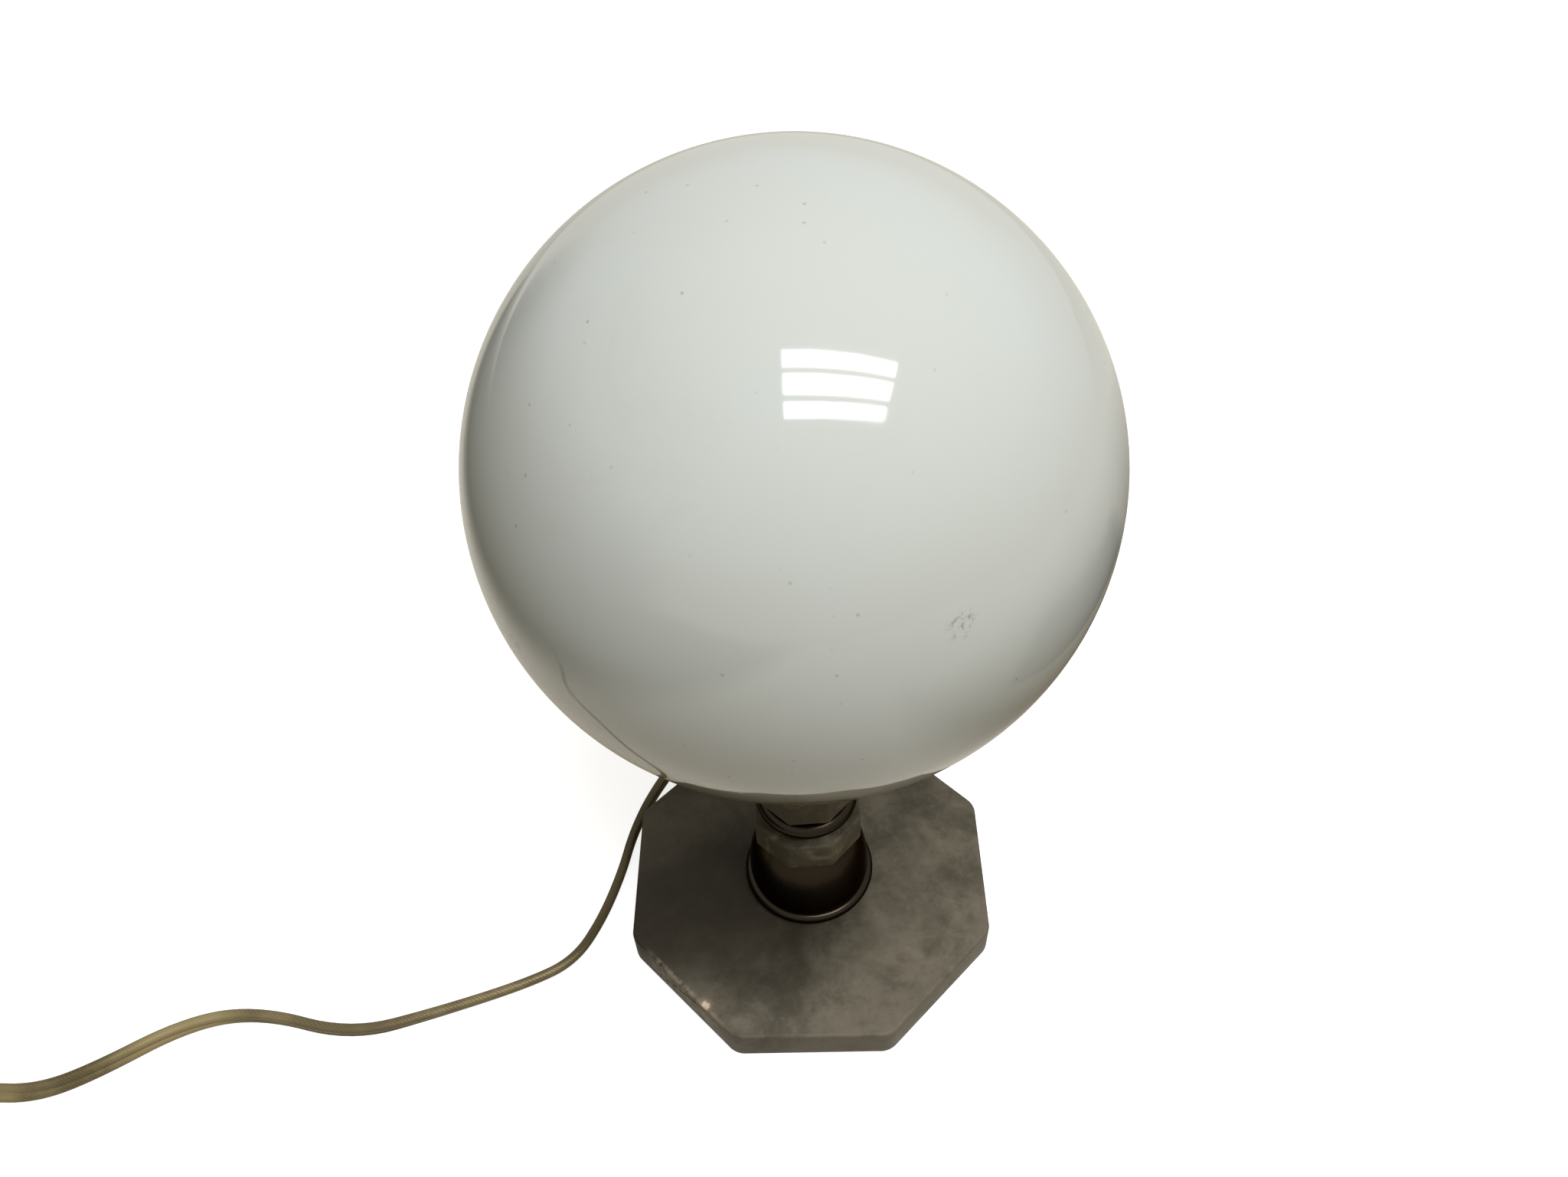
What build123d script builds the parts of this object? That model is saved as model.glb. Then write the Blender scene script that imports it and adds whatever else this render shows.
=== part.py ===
from build123d import *
import os
from math import cos, pi, radians, sin, sqrt, tan

# A small table lamp: an opal glass globe stands in a three-screw gallery, on a stem of
# marble blocks and dark turned brass, over an eight-sided marble base with a flat cord.
# Millimetres, +Z up. The origin is the centre of the felt's underside, and one flat of
# the base faces -Y, the front.

# ---------------------------------------------------------------- driving dimensions
# Marble base and what is under it
FELT_THICK = 1.0
FELT_INSET = 1.5  # felt edge inside the marble edge
BASE_ACROSS = 116.0  # across the flats
BASE_THICK = 12.5
BASE_CORNER_R = 3.0
BASE_EDGE_R = 1.0
RECESS_R = 17.0  # pocket under the base for nut and wires
RECESS_DEPTH = 9.0

# Threaded tube that clamps the stem, with its nuts and washers
TUBE_R = 5.0
TUBE_BORE_R = 4.0
TUBE_BELOW_NUT = 0.4
TUBE_ABOVE_NUT = 6.5
STEM_CLEARANCE = 0.4  # between the tube and each piece threaded on it
NUT_ACROSS = 14.0
NUT_THICK = 3.2
WASHER_THICK = 1.3
BASE_WASHER_R = 12.0
GALLERY_WASHER_R = 9.0

# Bell collar on the base
COLLAR_HEIGHT = 28.8
COLLAR_FOOT_R = 21.2
COLLAR_FOOT_HEIGHT = 4.2
COLLAR_SHOULDER_R = 19.4
COLLAR_BELLY_R = 18.3
COLLAR_TOP_R = 13.2
COLLAR_QUIRK = 1.2  # height of the slope between the foot and the side
COLLAR_BELLY_SHARE = 0.58  # share of the collar's height where the side's curve is drawn through
COLLAR_WALL = 1.8

# Marble blocks and the brass spacers between them
BLOCK_TURN = 2.8  # degrees that the blocks stand turned on the base
LOWER_BLOCK_ACROSS = 32.8
LOWER_BLOCK_HEIGHT = 11.7
UPPER_BLOCK_ACROSS = 28.6
UPPER_BLOCK_HEIGHT = 11.7
BLOCK_BEVEL = 0.7
LOWER_SPACER_HEIGHT = 9.5
LOWER_SPACER_FOOT_R = 12.4
LOWER_SPACER_HEAD_R = 11.8
LOWER_SPACER_WAIST_R = 10.0
UPPER_SPACER_HEIGHT = 8.8
UPPER_SPACER_FOOT_R = 12.6
UPPER_SPACER_HEAD_R = 13.0
UPPER_SPACER_WAIST_R = 9.6
SPACER_RIM = 2.0  # height of each spacer's end rims

# Gallery: the spun brass cup that carries the globe
GALLERY_SPARE = 1.5  # between the globe's neck and the cup's wall
GALLERY_SHEET = 1.0
GALLERY_FLOOR_R = 12.5
GALLERY_SHELF = 7.0  # width of the shelf, out to the cup's wall
GALLERY_SHELF_RISE = 20.0  # from the cup's underside to the underside of its shelf
GALLERY_WALL_HEIGHT = 14.0
GALLERY_BEND_R = 2.5
GALLERY_BEAD_R = 1.1
SEAT_RING_THICK = 1.5
SEAT_RING_LIP = 0.3

# Opal globe
GLOBE_R = 75.0
GLOBE_WALL = 2.5
NECK_R = 28.5
NECK_WALL = 3.0
NECK_HEIGHT = 14.8  # from its ground edge to where it meets the sphere
NECK_BLEND_R = 4.0  # where the neck runs into the sphere

# Thumb screws of the gallery
SCREW_COUNT = 3
SCREW_FIRST_ANGLE = 90.0
SCREW_R = 1.75
SCREW_HOLE_CLEARANCE = 0.05
SCREW_TIP_GAP = 0.3  # between the tip and the neck
SCREW_BOSS_R = 3.2
SCREW_BOSS_LENGTH = 3.0
SCREW_SHANK = 8.0  # from the tip to the head
SCREW_HEAD_R = 4.4
SCREW_HEAD_THICK = 4.0
SCREW_HEAD_BEVEL = 0.5
SCREW_ABOVE_SHELF = 7.5
SCREW_FLUTES = 14
SCREW_FLUTE_R = 0.5

# Small-screw lampholder
HOLDER_R = 14.0
HOLDER_WALL = 1.5
HOLDER_NECK_R = 7.6
HOLDER_NECK_HEIGHT = 2.6
HOLDER_CAP_HEIGHT = 11.6
HOLDER_CAVITY_HEIGHT = 5.0
HOLDER_LEDGE = 1.2  # depth of the ledge below the rim
HOLDER_LEDGE_WIDTH = 1.0
HOLDER_BAND = 2.2  # straight band under the rim
HOLDER_STEP_RISE = 8.0  # from the rim to the step in the shell
HOLDER_STEP = 0.8  # how far the shell steps in
HOLDER_SLOPE = 1.0  # height of the step's and the mouth's slopes
HOLDER_SHELL_HEIGHT = 38.4
HOLDER_MOUTH_R = 8.9
HOLDER_FIT = 0.1
CORE_RIM_THICK = 3.5
CORE_HEIGHT = 9.5
CORE_R = 10.6
SLEEVE_R = 7.5
SLEEVE_BORE_R = 6.95
SLEEVE_FLANGE_R = 9.2
SLEEVE_HEIGHT = 24.0
SLEEVE_FLANGE_THICK = 0.6
TONGUE_HEIGHT = 4.0
TONGUE_LENGTH = 10.4
TONGUE_WIDTH = 3.6
TONGUE_SHEET = 0.5
TONGUE_FOOT = 2.0  # flat length at the strip's free end

# Bulb
BULB_R = 22.5
BULB_GLASS = 0.8
BULB_CENTRE_RISE = 56.5  # from the tip of its contact to the ball's centre
BULB_CONTACT_R = 2.3
BULB_CONTACT_THICK = 1.5
BULB_INSULATOR_HEIGHT = 2.6
BULB_CAP_R = 6.75
BULB_CAP_WALL = 0.4
BULB_CAP_HEIGHT = 16.8
BULB_COLLAR_R = 8.1
BULB_COLLAR_HEIGHT = 3.4
BULB_NECK_R = 7.6
BULB_NECK_HEIGHT = 5.0
BULB_SHOULDER_SHARE = 0.62  # of the ball's radius, where the neck's cone meets it
BULB_STEP = 0.6  # slope of the collar, and the insulator's edge round the contact
BULB_FIT = 0.05
CONTACT_GAP = 0.3

# Cord and what is on it
CORD_R = 2.8  # half the width of the flat two-core cord
CORD_FIT = 0.06
LEAD_R = 1.2
LEAD_SPREAD = 1.4  # each lead off the cord's centre line
LEAD_DEPTH = 1.6  # lead's centre above the felt where it turns up
LEAD_STRAIGHT = 2.5  # straight run out of the cord's end
LEAD_DROP = 4.0  # run in which the leads drop to the felt
LEAD_BENDS = [2.5, 2.5, 4.0]
CORD_END_GAP = 1.5  # the cord's cut end inside the pocket's wall
EXIT_HOLE_R = 3.75
RELIEF_BARREL_R = 3.7
RELIEF_BARREL_LENGTH = 10.0
RELIEF_FLANGE_R = 5.2
RELIEF_FLANGE_THICK = 1.2
RELIEF_ROOT_R = 4.3
RELIEF_TIP_R = 3.3
RELIEF_LENGTH = 22.0

# Cord switch, lying along X
SWITCH_X = -306.0
SWITCH_Y = -67.0
SWITCH_LENGTH = 62.0
SWITCH_BODY_LENGTH = 46.0
SWITCH_WIDTH = 26.0
SWITCH_HEIGHT = 15.0
SWITCH_CORNER_R = 9.0
SWITCH_TOP_R = 3.0
SWITCH_FOOT_R = 1.0
SWITCH_WALL = 1.8
SWITCH_AXIS_Z = 4.5
SWITCH_NOZZLE_R = 4.4
SWITCH_POST_X = 16.5
SWITCH_POST_R = 2.8
SWITCH_SCREW_R = 1.25
SWITCH_SCREW_HEAD_R = 2.2
ROCKER_LENGTH = 15.0
ROCKER_WIDTH = 8.4
ROCKER_GAP = 0.35
ROCKER_PROUD = 1.6
ROCKER_TILT = 8.0
ROCKER_PIN_R = 1.2
ROCKER_PIN_CLEARANCE = 0.05
ROCKER_PIN_REACH = 1.6
ROCKER_PIVOT_DEPTH = 4.6
ROCKER_HEEL = 2.2
ROCKER_DIP = 1.0
EAR_THICK = 2.0
EAR_LENGTH = 5.0
SWITCH_SCREW_HEAD_DEPTH = 2.4
SWITCH_SCREW_SINK = 0.8
SWITCH_SCREW_REACH = 7.0
SWITCH_SCREW_SPARE = 0.5  # hole left beyond the screw's end
SWITCH_SCREW_FIT = 0.05
SWITCH_POST_Y = 8.0
PILLAR_R = 2.0
TERMINAL_SIZE = (6.0, 5.0, 5.0)
TERMINAL_X = 8.0
TERMINAL_Y = -7.0
CONTACT_LENGTH = 10.0
CONTACT_WIDTH = 3.0
CONTACT_SHEET = 0.5
CONTACT_LIFT = 0.8
CONTACT_FLAT = 2.0  # half the strip's flat middle
CONTACT_DROP = 4.0  # from the rocker's pivot down to the strip

# Coil of the spare cord
COIL_X = -347.0
COIL_Y = -6.4
COIL_INNER_R = 21.2  # radius of the half turn that climbs
COIL_PITCH = 6.1  # turn to turn
COIL_LAYER_RISE = 6.1
COIL_HALF_TURNS_DOWN = 6
COIL_HALF_TURNS_UP = 5
COIL_ARC_STEP = 45  # degrees between the points that set each quarter turn

# Cord from the coil to the plug: sideways, onward, and share of the way down
TAIL_STEPS = [(0, 0, 0), (0, 10, 0), (-2.5, 23, 0.4), (-3.5, 37, 1), (-3.5, 47, 1)]

# Flat two-pin plug, lying along +Y
PLUG_THICK = 13.7
PLUG_FACE_WIDTH = 35.3
PLUG_REAR_WIDTH = 15.0
PLUG_LENGTH = 36.0
PLUG_SHOULDER = 13.0
PLUG_SHOULDER_IN = 3.0
PLUG_EDGE_R = 2.5
PLUG_PIN_R = 2.0
PLUG_PIN_LENGTH = 19.0
PLUG_PIN_ROOT = 9.0  # thinner end that is moulded into the body
PLUG_PIN_ROOT_R = 1.6
PLUG_PIN_SPACING = 18.6
PLUG_PIN_TIP_R = 1.6
PLUG_RELIEF_LENGTH = 22.0
PLUG_RELIEF_ROOT_R = 5.0
PLUG_RELIEF_TIP_R = 3.5
RELIEF_RINGS = 5
RELIEF_RIB_SHARE = 0.6  # rib's share of one ring and groove
RELIEF_GROOVE = 0.5

# ---------------------------------------------------------------- heights up the stem
base_z = FELT_THICK
base_top = base_z + BASE_THICK
recess_top = base_z + RECESS_DEPTH
collar_top = base_top + COLLAR_HEIGHT
lower_block_top = collar_top + LOWER_BLOCK_HEIGHT
lower_spacer_top = lower_block_top + LOWER_SPACER_HEIGHT
upper_block_top = lower_spacer_top + UPPER_BLOCK_HEIGHT
gallery_z = upper_block_top + UPPER_SPACER_HEIGHT
shelf_z = gallery_z + GALLERY_SHELF_RISE + GALLERY_SHEET
seat_z = shelf_z + SEAT_RING_THICK
rim_z = shelf_z + GALLERY_WALL_HEIGHT
screw_z = shelf_z + SCREW_ABOVE_SHELF

base_nut_z = recess_top - WASHER_THICK - NUT_THICK
tube_z = base_nut_z - TUBE_BELOW_NUT
top_washer_z = gallery_z + GALLERY_SHEET
top_nut_z = top_washer_z + WASHER_THICK
holder_z = top_nut_z + NUT_THICK
tube_top = holder_z + TUBE_ABOVE_NUT

holder_rim_z = holder_z + HOLDER_CAP_HEIGHT
core_z = holder_rim_z - HOLDER_LEDGE
core_top = core_z + CORE_HEIGHT
bulb_z = core_top + TONGUE_HEIGHT + CONTACT_GAP
insulator_z = bulb_z + BULB_CONTACT_THICK
cap_z = insulator_z + BULB_INSULATOR_HEIGHT
bulb_collar_z = cap_z + BULB_CAP_HEIGHT
bulb_centre = bulb_z + BULB_CENTRE_RISE

gallery_r = NECK_R + GALLERY_SPARE + GALLERY_SHEET
globe_centre = seat_z + NECK_HEIGHT + sqrt(GLOBE_R**2 - NECK_R**2)
neck_top = globe_centre - sqrt((GLOBE_R + NECK_BLEND_R) ** 2 - (NECK_R + NECK_BLEND_R) ** 2)
exit_z = base_z + BASE_THICK / 2
base_face = BASE_ACROSS / 2
stem_bore_r = TUBE_R + STEM_CLEARANCE
rocker_pivot_z = SWITCH_HEIGHT - ROCKER_PIVOT_DEPTH
pillar_top = rocker_pivot_z - CONTACT_DROP
cord_line = Plane((-SWITCH_LENGTH / 2, 0, SWITCH_AXIS_Z), z_dir=(1, 0, 0))


# ---------------------------------------------------------------- shared helpers
def save(node, *solids):
    """Writes one node, as one solid or as a group of separate solids."""
    shape = solids[0] if len(solids) == 1 else Compound(children=list(solids))
    export_step(shape, f"parts/{node}.step")


def filled(*lines):
    """Face inside a closed outline that is made of lines and arcs."""
    return make_face([edge for line in lines for edge in line.edges()])


def turned(*lines):
    """Turns a closed outline, drawn as radius and height, about the lamp's axis."""
    return revolve(Plane.XZ * filled(*lines), Axis.Z)


def outline(*points):
    """Closed straight-sided outline."""
    return Polyline(*points, close=True)


def rod(radius, length):
    """Cylinder that starts at its own origin and runs along +Z."""
    return Cylinder(radius, length, align=(Align.CENTER, Align.CENTER, Align.MIN))


def disc(radius, bore, low, high):
    """Flat ring between two heights."""
    return Pos(0, 0, low) * extrude(Circle(radius) - Circle(bore), high - low)


def octagon(across, turn=0.0):
    """Regular eight-sided outline with a flat to the front before it is turned."""
    return RegularPolygon(across / 2, 8, major_radius=False, rotation=22.5 + turn)


def bend_radii(points):
    """Radius at each inner point of a cord's route: as large as its two runs allow."""
    radii = []
    for before, here, after in zip(points, points[1:], points[2:]):
        run_in = Vector(*here) - Vector(*before)
        run_out = Vector(*after) - Vector(*here)
        half_turn = radians(run_in.get_angle(run_out)) / 2
        radii.append(0.45 * min(run_in.length, run_out.length) / tan(half_turn))
    return radii


def tube_along(name, path, radius):
    """Round tube along a path, with its volume checked against section times length."""
    start = path @ 0
    solid = sweep(Plane(start, z_dir=path % 0) * Circle(radius), path=path)
    share = solid.volume / (pi * radius**2 * path.length)
    print(f"{name}: length {path.length:.1f}, volume over section x length {share:.4f}")
    return solid


def cord_tube(name, points, radius):
    """Stretch of cord through the points of its route, each corner rounded."""
    radii = bend_radii(points)
    print(f"{name}: bend radii", [round(value, 1) for value in radii])
    return tube_along(name, Wire(FilletPolyline(*points, radius=radii).edges()), radius)


# ---------------------------------------------------------------- base and stem
def felt_pad():
    """Felt glued under the base, which also closes the pocket for the nut."""
    plan = fillet(octagon(BASE_ACROSS - 2 * FELT_INSET).vertices(), BASE_CORNER_R)
    return extrude(plan, FELT_THICK)


def base_slab():
    """Marble slab with rounded corners, the nut's pocket and the drilled cord hole."""
    plan = fillet(octagon(BASE_ACROSS).vertices(), BASE_CORNER_R)
    slab = Pos(0, 0, base_z) * extrude(plan, BASE_THICK)
    slab = fillet(slab.edges().group_by(Axis.Z)[-1], BASE_EDGE_R)
    slab -= Pos(0, 0, base_z) * rod(RECESS_R, RECESS_DEPTH)
    slab -= Pos(0, 0, base_z) * rod(stem_bore_r, BASE_THICK)
    hole = Plane((0, 0, exit_z), z_dir=(0, 1, 0)) * rod(EXIT_HOLE_R, base_face)
    return slab - hole


def hex_nut(low):
    """Thin hexagon nut on the threaded tube."""
    plan = RegularPolygon(NUT_ACROSS / 2, 6, major_radius=False) - Circle(TUBE_R)
    return Pos(0, 0, low) * extrude(plan, NUT_THICK)


def bell_collar():
    """Turned brass bell: rolled foot, quirk, swelling side and a flat top."""
    foot_top = base_top + COLLAR_FOOT_HEIGHT
    shoulder_z = foot_top + COLLAR_QUIRK
    belly_z = base_top + COLLAR_BELLY_SHARE * COLLAR_HEIGHT
    roll = COLLAR_FOOT_HEIGHT / 2
    outside = [
        Line((COLLAR_FOOT_R - roll, base_top), (COLLAR_FOOT_R - roll - COLLAR_WALL, base_top)),
        ThreePointArc(
            (COLLAR_FOOT_R - roll, base_top),
            (COLLAR_FOOT_R, base_top + roll),
            (COLLAR_FOOT_R - roll, foot_top),
        ),
        Line((COLLAR_FOOT_R - roll, foot_top), (COLLAR_SHOULDER_R, shoulder_z)),
        ThreePointArc(
            (COLLAR_SHOULDER_R, shoulder_z),
            (COLLAR_BELLY_R, belly_z),
            (COLLAR_TOP_R, collar_top),
        ),
        Line((COLLAR_TOP_R, collar_top), (stem_bore_r, collar_top)),
    ]
    foot_inner = COLLAR_FOOT_R - roll - COLLAR_WALL
    inside = [
        Line((stem_bore_r, collar_top), (stem_bore_r, collar_top - COLLAR_WALL)),
        Line(
            (stem_bore_r, collar_top - COLLAR_WALL),
            (COLLAR_TOP_R - COLLAR_WALL, collar_top - COLLAR_WALL),
        ),
        ThreePointArc(
            (COLLAR_TOP_R - COLLAR_WALL, collar_top - COLLAR_WALL),
            (COLLAR_BELLY_R - COLLAR_WALL, belly_z - COLLAR_WALL / 2),
            (foot_inner, base_top),
        ),
    ]
    return turned(*outside, *inside)


def marble_block(across, low, height):
    """Eight-sided marble block with bevelled edges, bored for the tube."""
    block = Pos(0, 0, low) * extrude(octagon(across, BLOCK_TURN), height)
    ends = block.edges().group_by(Axis.Z)
    block = chamfer(list(ends[0]) + list(ends[-1]), BLOCK_BEVEL)
    return block - Pos(0, 0, low) * rod(stem_bore_r, height)


def turned_spacer(low, height, foot_r, head_r, waist_r):
    """Brass spool: a rim at each end and a hollow cove between them."""
    foot_top = low + SPACER_RIM
    head_z = low + height - SPACER_RIM
    return turned(
        Polyline(
            (head_r, head_z), (head_r, low + height), (stem_bore_r, low + height),
            (stem_bore_r, low), (foot_r, low), (foot_r, foot_top),
        ),
        ThreePointArc((foot_r, foot_top), (waist_r, (foot_top + head_z) / 2), (head_r, head_z)),
    )


# ---------------------------------------------------------------- gallery and globe
def screw_angles():
    return [SCREW_FIRST_ANGLE + 360 / SCREW_COUNT * index for index in range(SCREW_COUNT)]


def outward(angle, radius, height):
    """Plane whose Z axis points away from the lamp's axis at the given angle."""
    direction = (cos(radians(angle)), sin(radians(angle)), 0)
    return Plane((radius * direction[0], radius * direction[1], height), z_dir=direction)


def gallery():
    """Spun cup: floor on the stem, flaring bowl, shelf for the neck, wall and bead."""
    shelf_low = shelf_z - GALLERY_SHEET
    line = FilletPolyline(
        (stem_bore_r, gallery_z),
        (GALLERY_FLOOR_R, gallery_z),
        (gallery_r - GALLERY_SHELF, shelf_low),
        (gallery_r, shelf_low),
        (gallery_r, rim_z),
        radius=GALLERY_BEND_R,
    )
    section = make_face(offset(line, amount=GALLERY_SHEET, side=Side.LEFT, closed=True))
    cup = revolve(Plane.XZ * section, Axis.Z)
    bead = Plane.XZ * Pos(gallery_r, rim_z) * Circle(GALLERY_BEAD_R)
    cup += revolve(bead, Axis.Z)
    boss = rod(SCREW_BOSS_R, SCREW_BOSS_LENGTH)
    hole = rod(SCREW_R + SCREW_HOLE_CLEARANCE, gallery_r + SCREW_BOSS_LENGTH - NECK_R)
    for angle in screw_angles():
        cup += outward(angle, gallery_r - GALLERY_SHEET / 2, screw_z) * boss
    for angle in screw_angles():
        cup -= outward(angle, NECK_R, screw_z) * hole
    return cup


def globe():
    """Blown opal sphere down to where its neck turns straight, open below."""
    ball = Pos(0, 0, globe_centre) * Sphere(GLOBE_R)
    neck = Pos(0, 0, seat_z) * rod(NECK_R, globe_centre - seat_z)
    body = ball + neck
    joint = body.edges().filter_by(GeomType.CIRCLE).sort_by(Axis.Z)[1]
    body = fillet(joint, NECK_BLEND_R)
    hollow = Pos(0, 0, globe_centre) * Sphere(GLOBE_R - GLOBE_WALL)
    hollow += Pos(0, 0, seat_z) * rod(NECK_R - NECK_WALL, globe_centre - seat_z)
    return body - hollow - Pos(0, 0, seat_z) * rod(NECK_R, neck_top - seat_z)


def globe_neck():
    """Straight ground neck, a node of its own so that its collision pieces follow it."""
    return disc(NECK_R, NECK_R - NECK_WALL, seat_z, neck_top)


def thumb_screw(angle):
    """Gallery screw with a fluted head, its tip just off the neck."""
    tip = NECK_R + SCREW_TIP_GAP
    shank = rod(SCREW_R, SCREW_SHANK)
    head = extrude(Circle(SCREW_HEAD_R), SCREW_HEAD_THICK)
    head = chamfer(head.edges(), SCREW_HEAD_BEVEL)
    for index in range(SCREW_FLUTES):
        flute = Rot(0, 0, 360 / SCREW_FLUTES * index) * Pos(SCREW_HEAD_R, 0)
        head -= flute * rod(SCREW_FLUTE_R, SCREW_HEAD_THICK)
    return outward(angle, tip, screw_z) * (shank + Pos(0, 0, SCREW_SHANK) * head)


# ---------------------------------------------------------------- lampholder and bulb
def holder_cap():
    """Lower half of the holder, threaded on the tube, with a ledge for the core."""
    cavity_r = HOLDER_R - HOLDER_WALL
    ledge_r = cavity_r - HOLDER_LEDGE_WIDTH
    cavity_z = core_z - HOLDER_CAVITY_HEIGHT
    return turned(
        outline(
            (TUBE_R + HOLDER_FIT, holder_z),
            (HOLDER_NECK_R, holder_z),
            (HOLDER_NECK_R, holder_z + HOLDER_NECK_HEIGHT),
            (HOLDER_R, holder_rim_z - HOLDER_BAND),
            (HOLDER_R, holder_rim_z),
            (cavity_r, holder_rim_z),
            (cavity_r, core_z),
            (ledge_r, core_z),
            (TUBE_R + HOLDER_FIT, cavity_z),
        )
    )


def holder_core():
    """Porcelain insert that carries both contacts."""
    rim_r = HOLDER_R - HOLDER_WALL - HOLDER_FIT
    return disc(rim_r, LEAD_R, core_z, core_z + CORE_RIM_THICK) + disc(
        CORE_R, LEAD_R, core_z + CORE_RIM_THICK, core_top
    )


def holder_shell():
    """Upper half of the holder, with a mouth for the bulb."""
    inner_r = HOLDER_R - HOLDER_WALL + HOLDER_FIT
    top = holder_rim_z + HOLDER_SHELL_HEIGHT
    step = holder_rim_z + HOLDER_STEP_RISE
    slim_r = HOLDER_R - HOLDER_STEP
    return turned(
        outline(
            (inner_r, holder_rim_z),
            (HOLDER_R, holder_rim_z),
            (HOLDER_R, step),
            (slim_r, step + HOLDER_SLOPE),
            (slim_r, top - HOLDER_SLOPE),
            (slim_r - HOLDER_SLOPE, top),
            (HOLDER_MOUTH_R, top),
            (HOLDER_MOUTH_R, top - HOLDER_WALL),
            (inner_r - HOLDER_STEP, top - HOLDER_WALL),
            (inner_r - HOLDER_STEP, step),
            (inner_r, step - HOLDER_SLOPE),
        )
    )


def holder_sleeve():
    """Screw sleeve, the holder's side contact."""
    return turned(
        outline(
            (SLEEVE_BORE_R, core_top),
            (SLEEVE_FLANGE_R, core_top),
            (SLEEVE_FLANGE_R, core_top + SLEEVE_FLANGE_THICK),
            (SLEEVE_R, core_top + SLEEVE_FLANGE_THICK),
            (SLEEVE_R, core_top + SLEEVE_HEIGHT),
            (SLEEVE_BORE_R, core_top + SLEEVE_HEIGHT),
        )
    )


def holder_tongue():
    """Sprung brass strip under the bulb's contact."""
    half = TONGUE_LENGTH / 2
    low = core_top + TONGUE_SHEET
    high = core_top + TONGUE_HEIGHT
    strip = outline(
        (-half, core_top), (half, core_top), (half, low), (-half + TONGUE_FOOT, low),
        (0, high - TONGUE_SHEET), (half - TONGUE_FOOT, high - TONGUE_SHEET),
        (half - TONGUE_FOOT, high), (-TONGUE_SHEET, high), (-half, low),
    )
    return Pos(0, TONGUE_WIDTH / 2, 0) * extrude(Plane.XZ * filled(strip), TONGUE_WIDTH)


def bulb_glass():
    """Ball-shaped glass with its neck set in the cap's collar."""
    foot = bulb_collar_z + BULB_STEP
    shoulder = foot + BULB_NECK_HEIGHT

    def form(shrink):
        radius = BULB_R - shrink
        neck = BULB_NECK_R - shrink
        shoulder_r = BULB_SHOULDER_SHARE * radius
        ball_z = bulb_centre - sqrt(radius**2 - shoulder_r**2)
        wall = turned(
            outline((0, foot), (neck, foot), (neck, shoulder), (shoulder_r, ball_z), (0, ball_z))
        )
        return wall + Pos(0, 0, bulb_centre) * Sphere(radius)

    return form(0) - form(BULB_GLASS)


def bulb_cap():
    """Screw cap and the wider collar that grips the glass."""
    inner = BULB_CAP_R - BULB_CAP_WALL
    top = bulb_collar_z + BULB_COLLAR_HEIGHT
    return turned(
        outline(
            (inner, cap_z), (BULB_CAP_R, cap_z), (BULB_CAP_R, bulb_collar_z),
            (BULB_COLLAR_R, bulb_collar_z + BULB_STEP), (BULB_COLLAR_R, top),
            (BULB_NECK_R + BULB_FIT, top), (BULB_NECK_R + BULB_FIT, bulb_collar_z + BULB_STEP),
            (inner, bulb_collar_z),
        )
    )


def bulb_insulator():
    """Black glass between the cap and the contact."""
    return turned(
        outline(
            (0, insulator_z), (BULB_CONTACT_R + BULB_STEP, insulator_z),
            (BULB_CAP_R - BULB_STEP, cap_z), (0, cap_z),
        )
    )


def bulb_contact():
    """Solder contact at the foot of the bulb."""
    return Pos(0, 0, bulb_z) * rod(BULB_CONTACT_R, BULB_CONTACT_THICK)


# ---------------------------------------------------------------- cord from the lamp
def cord_relief():
    """Tapered sleeve that guards the cord where it leaves the base."""
    bore = CORD_R + CORD_FIT
    flange_end = RELIEF_BARREL_LENGTH + RELIEF_FLANGE_THICK
    sleeve = turned(
        outline(
            (bore, 0), (RELIEF_BARREL_R, 0), (RELIEF_BARREL_R, RELIEF_BARREL_LENGTH),
            (RELIEF_FLANGE_R, RELIEF_BARREL_LENGTH), (RELIEF_FLANGE_R, flange_end),
            (RELIEF_ROOT_R, flange_end), (RELIEF_TIP_R, RELIEF_BARREL_LENGTH + RELIEF_LENGTH),
            (bore, RELIEF_BARREL_LENGTH + RELIEF_LENGTH),
        )
    )
    return Plane((0, base_face - RELIEF_BARREL_LENGTH, exit_z), z_dir=(0, 1, 0)) * sleeve


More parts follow.
